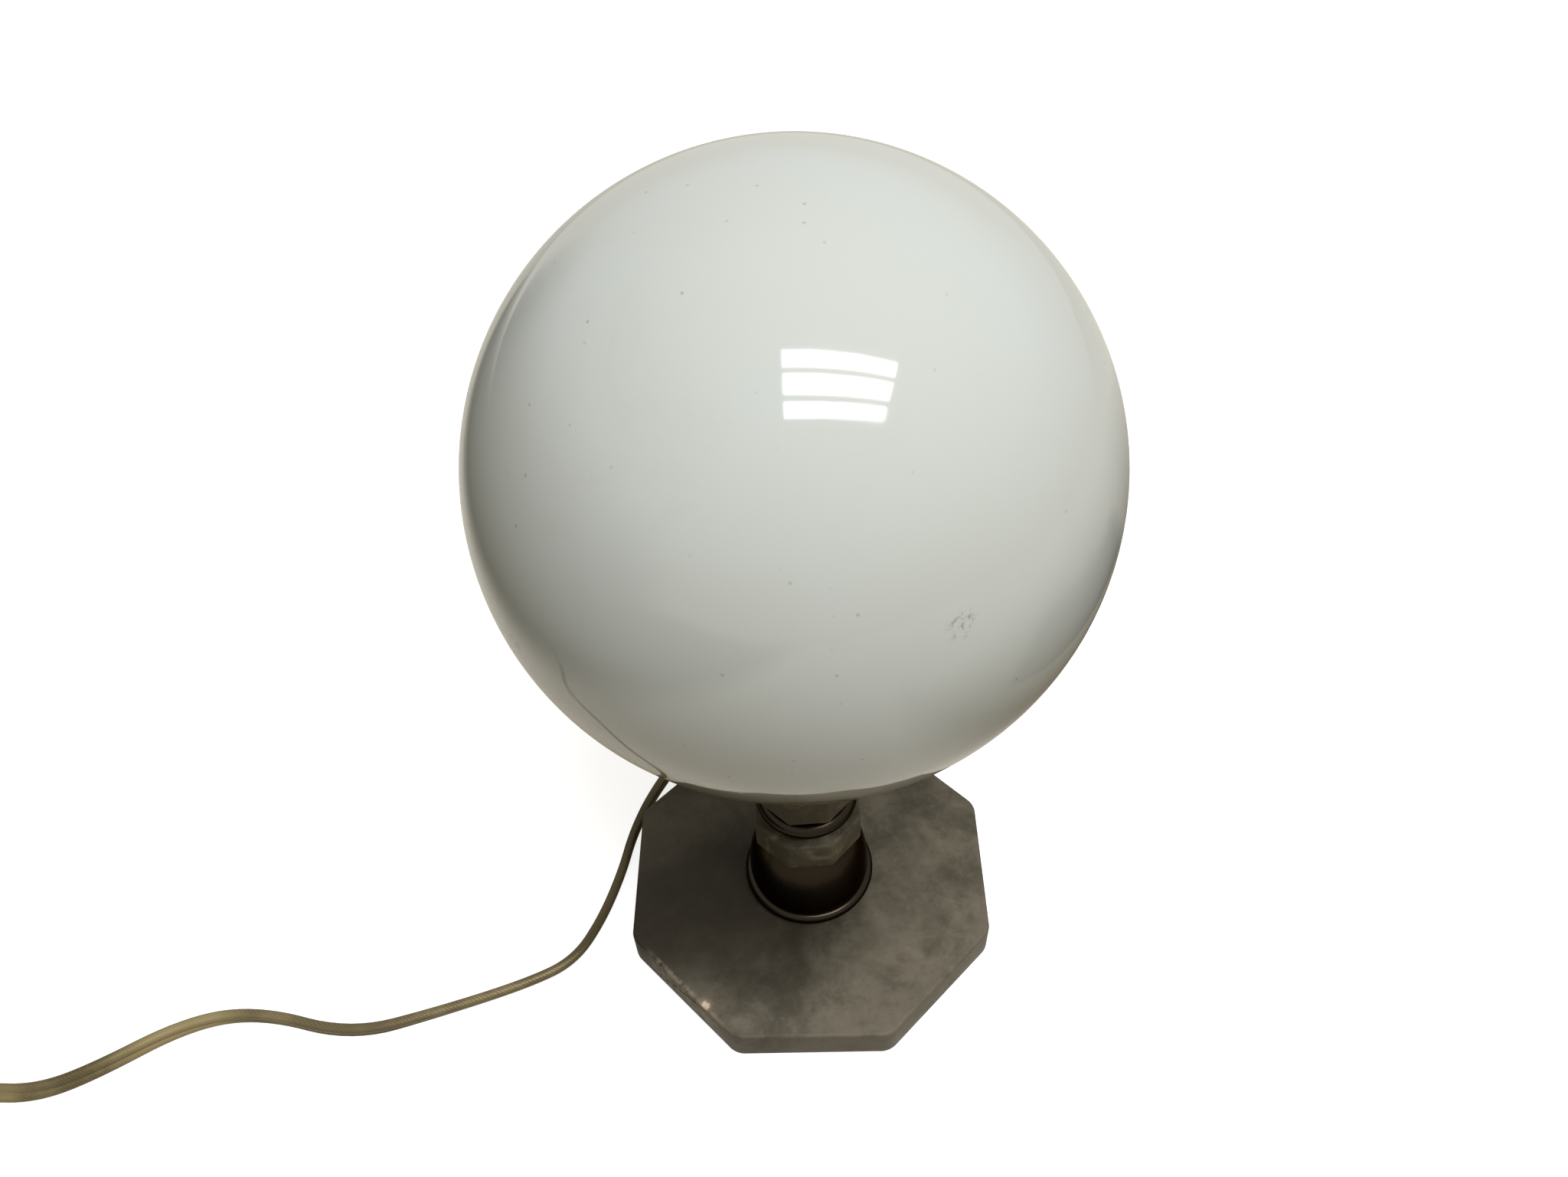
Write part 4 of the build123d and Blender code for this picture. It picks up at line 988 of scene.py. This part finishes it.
# The cards' places and sizes, in metres.
DARK_CARDS = {
    "card_left": {
        "edge": (-1.0, 0.1, 0.0),
        "across": (0, 0, 0.8),
        "along": (0, 1.6, 0),
        "colour": (0.05, 0.045, 0.03),
        "fade": (0.15, 0.5),
        "shades": True,
    },
    "card_left_low": {
        "edge": (-0.18, 0.0, 0.02),
        "across": (-1.1, -0.3, 0),
        "along": (-0.4, 1.0, 0),
        "colour": (0.06, 0.05, 0.03),
        "fade": (0.7, 0.6),
        "rise": 0.1,
    },
    "card_right": {
        "edge": (0.17, 0.02, 0.02),
        "across": (0.2, 0, 0),
        "along": (0, 0.125, 0),
        "colour": (0.005, 0.005, 0.004),
        "fade": (0.5, 0.7),
    },
    "card_right_low": {
        "edge": (0.05, -0.03, 0.018),
        "across": (0.7, 0.1, 0),
        "along": (-0.1, 0.3, 0),
        "colour": (0.2, 0.17, 0.12),
        "fade": (0.1, 0.3),
        "rise": 0.12,
    },
}


class LAMP_OT_stage(bpy.types.Operator):
    """Sets the camera, the ceiling light, the world, the pale floor and the dark cards"""

    bl_idname = "lamp.stage"
    bl_label = "Stage"

    def execute(self, context):
        place_camera()
        set_world()
        floor = plate("floor", (0, 0, 0), (FLOOR_HALF, 0, 0), (0, FLOOR_HALF, 0))
        floor.data.materials.append(floor_material())
        for number, (y, width) in enumerate(TUBES, start=1):
            power = pi * TUBE_LEVEL * TUBE_LENGTH * width
            ceiling_panel(f"ceiling_{number}", (TUBE_X, y, TUBE_HEIGHT), (TUBE_LENGTH, width), power)
        for name, card in DARK_CARDS.items():
            dark_card(name, **card)
        context.scene.view_settings.view_transform = "Standard"
        return {"FINISHED"}


# ---------------------------------------------------------------- cord
# Points of the cord's routes: x, y and z in millimetres, and the lean of the flat cord in degrees,
# 0 where it stands on edge and 90 where it lies flat.
FLAT = 90
LEAD_ROUTE = [
    (0, 58, 7.25, 0),
    (0, 80, 7.25, 0),
    (0, 96, 7.25, 0),
    (-8.5, 109.5, 5, 0),
    (-26, 113, 2.8, 0),
    (-41.5, 99, 2.8, 0),
    (-47, 78, 2.8, 0),
    (-46, 57, 2.8, -5),
    (-57.3, 36.5, 2.8, -10),
    (-62.7, 20.8, 2.8, -14),
    (-65.2, 6, 2.8, -17),
    (-70.6, -12, 2.8, -20),
    (-78.3, -26.5, 2.8, -26),
    (-93, -34, 2.8, -26),
    (-120, -43, 2.8, -22),
    (-147, -50.5, 2.8, -8),
    (-178, -42, 2.8, -5),
    (-201, -45, 2.8, 2),
    (-228, -61.5, 2.75, 24),
    (-243, -67, 2.8, 42),
    (-258, -67, 4.5, FLAT),
    (-275, -67, 4.5, FLAT),
]

# The coil, in millimetres: a layer of half turns inwards on the floor, one that climbs, and a
# layer of half turns outwards on top.
COIL_CENTRE = (-347.0, -6.4)
COIL_INNER = 21.2
COIL_PITCH = 6.1
COIL_RISE = 6.1
COIL_FLOOR = 2.8
HALF_TURNS_IN = 6
HALF_TURNS_OUT = 5
COIL_STEPS = 12  # control points in each half turn
COIL_START_X = COIL_CENTRE[0] - COIL_INNER - HALF_TURNS_IN * COIL_PITCH / 2
LINK_ROUTE = [
    (-337, -67, 4.5, FLAT),
    (-355, -67, 4.5, FLAT),
    (-377, -52, 2.8, 40),
    (COIL_START_X, -30, 2.8, 0),
    (COIL_START_X, -12, 2.8, 0),
]
PLUG_Z = 6.85
# From the coil's end to the plug: x and y from that end, share of the way to the plug's height, lean.
TAIL_STEPS = [(0, 15.6, 0, 0), (-2.5, 28.6, 0.4, 40), (-3.5, 42.6, 1, FLAT), (-3.5, 55, 1, FLAT)]

# The tie round the coil, in millimetres.
TIE_WIDTH = 8.0
TIE_THICK = 1.0
TIE_GAP = 0.25
TIE_FLOOR = 0.3
TIE_CORNER = 2.2


def coil_points():
    """Control points of the coil: half turns in, one that climbs, and half turns out."""
    x, y, z = COIL_START_X, COIL_CENTRE[1], COIL_FLOOR
    points = [(x, y, z, 0)]
    side = 1
    radii = [COIL_INNER + COIL_PITCH / 2 * (HALF_TURNS_IN - i) for i in range(HALF_TURNS_IN)]
    radii.append(COIL_INNER)
    radii += [COIL_INNER + COIL_PITCH / 2 * (i + 1) for i in range(HALF_TURNS_OUT)]
    for index, radius in enumerate(radii):
        rise = COIL_RISE if index == HALF_TURNS_IN else 0.0
        reach = side * radius
        centre = x + reach
        for step in range(1, COIL_STEPS + 1):
            turn = pi * step / COIL_STEPS
            height = z + rise * step / COIL_STEPS
            points.append((centre - reach * cos(turn), y + reach * sin(turn), height, 0))
        x, z = x + 2 * reach, z + rise
        side = -side
    return points


def tail_points(start):
    """Control points from the coil's end into the plug."""
    x, y, z = start[:3]
    return [(x + dx, y + dy, z + (PLUG_Z - z) * share, lean) for dx, dy, share, lean in TAIL_STEPS]


def cord_profile():
    """Section of the flat cord, stood on edge: two round cores joined by a thin web."""
    curve = bpy.data.curves.new("cord_section", "CURVE")
    curve.dimensions = "2D"
    line = curve.splines.new("NURBS")
    half, core = sizes().cord_width / 2, sizes().cord_thickness / 2
    reach = half - core
    shoulder, crown, foot = 0.55 * core, reach + 0.55 * core, reach - 0.3 * core
    waist = 0.62 * core
    right = [(core, foot), (core, crown), (shoulder, half)]
    top = right + [(-x, y) for x, y in reversed(right)] + [(-waist, 0)]
    points = top + [(-x, -y) for x, y in top]
    line.points.add(len(points) - 1)
    for target, (x, y) in zip(line.points, points):
        target.co = (x, y, 0, 1)
    line.use_cyclic_u = True
    line.order_u = 3
    line.resolution_u = 3
    obj = bpy.data.objects.new("cord_section", curve)
    bpy.context.collection.objects.link(obj)
    obj.hide_render = True
    obj.hide_viewport = True
    return obj


def tie_band(coil):
    """Flat band round the coil's bundle, on the side nearest the front."""
    across = [p for p in coil if abs(p[0] - COIL_CENTRE[0]) < COIL_PITCH / 2 and p[1] < COIL_CENTRE[1]]
    flat = sizes().cord_thickness / 2 + TIE_GAP * MM
    edge = sizes().cord_width / 2 + TIE_GAP * MM
    front, back = min(p[1] for p in across) * MM - flat, max(p[1] for p in across) * MM + flat
    roof = max(p[2] for p in across) * MM + edge
    corner, thick = TIE_CORNER * MM, TIE_THICK * MM
    left, right = (COIL_CENTRE[0] - TIE_WIDTH / 2) * MM, (COIL_CENTRE[0] + TIE_WIDTH / 2) * MM
    shape = bmesh.new()
    loops = []
    for x, grow in ((left, 0.0), (left, thick), (right, thick), (right, 0.0)):
        y0, y1 = front - grow, back + grow
        z0, z1 = max(0.0, TIE_FLOOR * MM - grow), roof + grow
        outline = rounded([(y0, z0, corner), (y1, z0, corner), (y1, z1, corner), (y0, z1, corner)])
        loops.append(edge_line(shape, [(x, y, z) for y, z in outline])[1])
    bridge_round(shape, loops)
    return piece("coil_tie", shape, "base", "tie")


def cord_curve(name, route, section, replaced):
    """Free cord: one smooth spline with the route's points as its control points."""
    curve = bpy.data.curves.new(name, "CURVE")
    curve.dimensions = "3D"
    line = curve.splines.new("NURBS")
    line.points.add(len(route) - 1)
    for target, (x, y, z, lean) in zip(line.points, route):
        target.co = (*metres((x, y, z)), 1)
        target.tilt = radians(lean)
    line.order_u = 3
    line.use_endpoint_u = True
    line.resolution_u = 8
    curve.twist_mode = "Z_UP"
    curve.bevel_mode = "OBJECT"
    curve.bevel_object = section
    curve.use_fill_caps = True
    obj = bpy.data.objects.new(name, curve)
    bpy.context.collection.objects.link(obj)
    curve.materials.append(finish_of("cord"))
    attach(obj, "base")
    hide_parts(*replaced)
    return obj


class LAMP_OT_cord(bpy.types.Operator):
    """Lays the flat cord: behind the base, to the switch, and coiled up to the plug"""

    bl_idname = "lamp.cord"
    bl_label = "Cord"

    def execute(self, context):
        section = cord_profile()
        lead = cord_curve("cord_to_switch", LEAD_ROUTE, section, ["cord_inlet", "cord_lead"])
        coil = coil_points()
        route = [*LINK_ROUTE, *coil, *tail_points(coil[-1])]
        rest = cord_curve("cord_to_plug", route, section, ["cord_link", "cord_coil", "cord_tail"])
        tie_band(coil)
        dress("relief_plastic", "cord_relief", "plug_relief")
        dress("cord", "lamp_leads")
        return {"FINISHED"}


# ---------------------------------------------------------------- base
POCKET_RADIUS = 17.0 * MM
CORNER_SEGMENTS = 6
RIM_COUNT = 8 * (CORNER_SEGMENTS + 1)  # corners of the slab's outline once it is rounded
CORNER_SHARE = 0.75  # cut off each side of a corner, as a share of the corner's radius
EDGE_ROUNDING = 1.1 * MM
CHIP_CUTS = 60
LONG_EDGE = 30 * MM
NEAR_EDGE = 1.5 * MM


def knock_chip(shape, top):
    """Cuts the rounded front left edge finely, and knocks a shallow chip out of it."""
    chip = Vector(CHIP)
    outward, along = Vector(EDGE_OUTWARD), Vector(EDGE_ALONG)
    reach = sizes().base_across / 2 - NEAR_EDGE
    long_edges = [
        e
        for e in shape.edges
        if abs((e.verts[0].co - e.verts[1].co).dot(along)) > LONG_EDGE
        and all(v.co.dot(outward) > reach and v.co.z > top - NEAR_EDGE for v in e.verts)
    ]
    bmesh.ops.subdivide_edges(shape, edges=long_edges, cuts=CHIP_CUTS, use_grid_fill=True)
    inward = Vector((-outward.x, -outward.y, -0.9)).normalized()
    for vert in shape.verts:
        away = (vert.co - chip).length / CHIP_RADIUS
        if away < 1:
            vert.co += inward * CHIP_DEPTH * (1 - away * away)


def raise_edges(shape, edges, rise):
    """Extrudes edges straight up."""
    made = bmesh.ops.extrude_edge_only(shape, edges=edges)["geom"]
    verts = [v for v in made if isinstance(v, bmesh.types.BMVert)]
    bmesh.ops.translate(shape, vec=(0, 0, rise), verts=verts)


def slab_shape():
    """Eight-sided slab with rounded corners, a pocket below and the tube's bore."""
    bottom, top = low("base_slab").z, high("base_slab").z
    pocket_top = high("base_washer").z
    shape = bmesh.new()
    circumradius = sizes().base_across / 2 / cos(EIGHTH)
    place = Matrix.Translation((0, 0, bottom)) @ Matrix.Rotation(EIGHTH, 4, "Z")
    rim = bmesh.ops.create_circle(shape, cap_ends=False, radius=circumradius, segments=8, matrix=place)
    bmesh.ops.bevel(
        shape,
        geom=rim["verts"],
        offset=sizes().base_corner * CORNER_SHARE,
        offset_type="OFFSET",
        segments=CORNER_SEGMENTS,
        profile=0.5,
        affect="VERTICES",
        material=-1,
    )
    lower = list(shape.edges)
    raise_edges(shape, lower, top - bottom)
    upper = at_height(shape.edges, top)
    bmesh.ops.bridge_loops(shape, edges=upper + circle_edges(shape, TUBE_BORE, top, RIM_COUNT))
    bmesh.ops.bridge_loops(shape, edges=lower + circle_edges(shape, POCKET_RADIUS, bottom, RIM_COUNT))
    mouth = [e for e in at_height(shape.edges, bottom) if e.is_boundary]
    raise_edges(shape, mouth, pocket_top - bottom)
    roof = [e for e in at_height(shape.edges, pocket_top) if e.is_boundary]
    bmesh.ops.bridge_loops(shape, edges=roof + circle_edges(shape, TUBE_BORE, pocket_top, RIM_COUNT))
    bmesh.ops.bridge_loops(shape, edges=[e for e in shape.edges if e.is_boundary])
    bmesh.ops.recalc_face_normals(shape, faces=shape.faces)
    outside = [
        e
        for z in (bottom, top)
        for e in at_height(shape.edges, z)
        if all(v.co.xy.length > 0.4 * sizes().base_across for v in e.verts)
        and len({round(f.normal.z) for f in e.link_faces}) > 1
    ]
    bevelled(shape, outside, EDGE_ROUNDING, 4)
    knock_chip(shape, top)
    return shape


class LAMP_OT_base(bpy.types.Operator):
    """Makes the eight-sided marble base, with its pocket and bore, and dresses the felt"""

    bl_idname = "lamp.base"
    bl_label = "Base"

    def execute(self, context):
        slab = slab_shape()
        piece("marble_base", slab, "base", "base_marble", ["base_slab"], flat_above=60)
        dress("felt", "felt_pad")
        dress("steel", "base_washer", "base_nut", "stem_tube")
        return {"FINISHED"}


# ---------------------------------------------------------------- stem
BELL_WALL = 1.8 * MM
FOOT_ROLL = 2.1 * MM
SHOULDER_RADIUS = 19.4 * MM
SHOULDER_RISE = 5.4 * MM
BELLY_RADIUS = 18.3 * MM
BELLY_SHARE = 0.58  # of the bell's height
MOUTH_RADIUS = 13.2 * MM


def bell_shape():
    """Hollow bell: rolled foot, quirk, swelling side and a flat top with the tube's hole."""
    bottom, top = low("bell_collar").z, high("bell_collar").z
    roll_r = half_width("bell_collar") - FOOT_ROLL
    shoulder = (SHOULDER_RADIUS, bottom + SHOULDER_RISE)
    belly = (BELLY_RADIUS, bottom + BELLY_SHARE * (top - bottom))
    profile = [(roll_r, bottom)]
    profile += arc((roll_r, bottom + FOOT_ROLL), FOOT_ROLL, -90, 90, 14)[1:]
    profile += [(shoulder[0] - 0.35 * MM, shoulder[1] - 0.5 * MM)]
    profile += through(shoulder, belly, (MOUTH_RADIUS, top), 28)
    ceiling = top - BELL_WALL
    inner_mouth = (MOUTH_RADIUS - BELL_WALL, ceiling)
    inner_belly = (belly[0] - BELL_WALL, belly[1] - BELL_WALL / 2)
    profile += [(TUBE_BORE, top), (TUBE_BORE, ceiling), inner_mouth]
    profile += through(inner_mouth, inner_belly, (roll_r - BELL_WALL, bottom), 20)[1:]
    return spun(profile, 112)


SPACER_RIM = 2.0 * MM  # height of the straight rims
SPACER_ROUNDING = 0.45 * MM


def spacer_shape(node, foot, head, waist):
    """Turned spool: rim, cove and rim, with softened edges."""
    bottom, top = low(node).z, high(node).z
    rim_low, rim_high = bottom + SPACER_RIM, top - SPACER_RIM
    under = [(TUBE_BORE, bottom, 0), (foot, bottom, SPACER_ROUNDING), (foot, rim_low, 0)]
    over = [(head, rim_high, 0), (head, top, SPACER_ROUNDING), (TUBE_BORE, top, 0)]
    cove = through((foot, rim_low), (waist, (bottom + top) / 2), (head, rim_high), 18)
    return spun(rounded(under, closed=False) + cove[1:-1] + rounded(over, closed=False), 96)


BLOCK_ROUNDING = 0.75 * MM


def block_shape(node, across):
    """Eight-sided marble block with softened edges, bored for the tube."""
    bottom, top = low(node).z, high(node).z
    shape = bmesh.new()
    turn = Matrix.Rotation(EIGHTH + sizes().block_turn, 4, "Z")
    circumradius = across / 2 / cos(EIGHTH)
    outer_low = circle_edges(shape, circumradius, bottom, 8, turn)
    outer_high = circle_edges(shape, circumradius, top, 8, turn)
    inner_low = circle_edges(shape, TUBE_BORE, bottom, 32, turn)
    inner_high = circle_edges(shape, TUBE_BORE, top, 32, turn)
    bridge_round(shape, [outer_low, outer_high, inner_high, inner_low])
    outer = [e for e in shape.edges if all(v.co.xy.length > 0.45 * across for v in e.verts)]
    bevelled(shape, outer, BLOCK_ROUNDING, 3)
    return shape


# Turned spacers: piece's name, node, and radii of the foot, the head and the waist.
SPACERS = (
    ("spacer_low", "lower_spacer", 12.4 * MM, 11.8 * MM, 10.0 * MM),
    ("spacer_high", "upper_spacer", 12.6 * MM, 13.0 * MM, 9.6 * MM),
)
# Marble blocks: piece's name, node, and width across the flats.
BLOCKS = (("block_low", "lower_block", 32.8 * MM), ("block_high", "upper_block", 28.6 * MM))


class LAMP_OT_stem(bpy.types.Operator):
    """Turns the brass bell and spacers, and cuts the marble blocks"""

    bl_idname = "lamp.stem"
    bl_label = "Stem"

    def execute(self, context):
        piece("bell", bell_shape(), "base", "dark_brass", ["bell_collar"])
        for name, node, *radii in SPACERS:
            piece(name, spacer_shape(node, *radii), "base", "dark_brass", [node])
        for name, node, across in BLOCKS:
            block = block_shape(node, across)
            piece(name, block, "base", "block_marble", [node], flat_above=8)
        return {"FINISHED"}


# ---------------------------------------------------------------- gallery and globe
class LAMP_OT_gallery(bpy.types.Operator):
    """Dresses the gallery, its seat ring, nut and thumb screws"""

    bl_idname = "lamp.gallery"
    bl_label = "Gallery"

    def execute(self, context):
        dress("dark_brass", "gallery")
        dress("rubber", "seat_ring")
        dress("steel", "gallery_washer", "gallery_nut")
        dress("brass", "thumb_screw_1", "thumb_screw_2", "thumb_screw_3")
        return {"FINISHED"}


NECK_RADIUS = 28.5 * MM
NECK_WALL = 3.0 * MM
NECK_BLEND = 4.0 * MM  # rounding between the ball and its neck
NECK_SOFT = 0.5 * MM  # softening of the ground edge, outside
NECK_SOFT_INSIDE = 0.4 * MM


def globe_shape():
    """Blown globe as one closed wall: outer skin, ground neck edge and inner skin."""
    radius = sizes().globe_radius
    centre = high("globe").z - radius
    edge = low("globe_neck").z
    inner = radius - sizes().globe_wall
    bore = NECK_RADIUS - NECK_WALL
    blend_r = NECK_RADIUS + NECK_BLEND
    blend_z = centre - sqrt((radius + NECK_BLEND) ** 2 - blend_r**2)
    lean = degrees(atan2(blend_z - centre, blend_r))
    profile = arc((0, centre), radius, 90, lean, 110)
    profile += arc((blend_r, blend_z), NECK_BLEND, 180 + lean, 180, 8)[1:]
    profile += [(NECK_RADIUS, edge + NECK_SOFT), (NECK_RADIUS - NECK_SOFT, edge)]
    profile += [(bore + NECK_SOFT_INSIDE, edge), (bore, edge + NECK_SOFT_INSIDE)]
    inner_low = degrees(atan2(-sqrt(inner**2 - bore**2), bore))
    profile += arc((0, centre), inner, inner_low, 90, 60)
    profile[0] = (0.0, centre + radius)
    profile[-1] = (0.0, centre + inner)
    return spun(profile, 160, closed=False)


class LAMP_OT_globe(bpy.types.Operator):
    """Blows the opal glass globe with its open neck"""

    bl_idname = "lamp.globe"
    bl_label = "Globe"

    def execute(self, context):
        replaced = ["globe", "globe_neck"]
        piece("opal_globe", globe_shape(), "globe", "opal", replaced, smooth=50.0)
        return {"FINISHED"}


class LAMP_OT_holder(bpy.types.Operator):
    """Dresses the lampholder and the bulb"""

    bl_idname = "lamp.holder"
    bl_label = "Lampholder and bulb"

    def execute(self, context):
        dress("holder_plastic", "holder_cap", "holder_shell")
        dress("porcelain", "holder_core")
        dress("brass", "holder_sleeve", "holder_tongue")
        dress("bulb", "bulb_glass")
        dress("bulb_metal", "bulb_cap", "bulb_contact")
        dress("black_glass", "bulb_insulator")
        return {"FINISHED"}


class LAMP_OT_switch(bpy.types.Operator):
    """Dresses the cord switch and its rocker"""

    bl_idname = "lamp.switch"
    bl_label = "Switch"

    def execute(self, context):
        dress("switch_plastic", "switch_base", "switch_cover")
        dress("rocker_plastic", "switch_rocker")
        dress("steel", "switch_screws")
        dress("brass", "switch_terminals", "switch_contact")
        return {"FINISHED"}


class LAMP_OT_plug(bpy.types.Operator):
    """Dresses the plug and its pins"""

    bl_idname = "lamp.plug"
    bl_label = "Plug"

    def execute(self, context):
        dress("switch_plastic", "plug_body")
        dress("pins", "plug_pins")
        return {"FINISHED"}


OPERATORS = (
    LAMP_OT_stage,
    LAMP_OT_cord,
    LAMP_OT_base,
    LAMP_OT_stem,
    LAMP_OT_gallery,
    LAMP_OT_globe,
    LAMP_OT_holder,
    LAMP_OT_switch,
    LAMP_OT_plug,
)


class LAMP_PT_panel(bpy.types.Panel):
    """Lists the steps that build the lamp, with its sizes and colours"""

    bl_idname = "LAMP_PT_panel"
    bl_label = "Globe table lamp"
    bl_space_type = "VIEW_3D"
    bl_region_type = "UI"
    bl_category = "Lamp"

    def draw(self, context):
        for operator in OPERATORS:
            self.layout.operator(operator.bl_idname)
        for group in (context.scene.lamp_sizes, context.scene.lamp_colours):
            box = self.layout.box()
            for key in group.bl_rna.properties.keys():
                if key not in ("rna_type", "name"):
                    box.prop(group, key)


CLASSES = (LampSizes, LampColours, *OPERATORS, LAMP_PT_panel)


def register():
    for entry in CLASSES:
        bpy.utils.register_class(entry)
    bpy.types.Scene.lamp_sizes = bpy.props.PointerProperty(type=LampSizes)
    bpy.types.Scene.lamp_colours = bpy.props.PointerProperty(type=LampColours)


def unregister():
    del bpy.types.Scene.lamp_colours
    del bpy.types.Scene.lamp_sizes
    for entry in reversed(CLASSES):
        bpy.utils.unregister_class(entry)


def main():
    register()
    for operator in OPERATORS:
        group, name = operator.bl_idname.split(".")
        result = getattr(getattr(bpy.ops, group), name)()
        if result != {"FINISHED"}:
            raise RuntimeError(f"{operator.bl_label} did not finish")


if __name__ == "__main__":
    main()
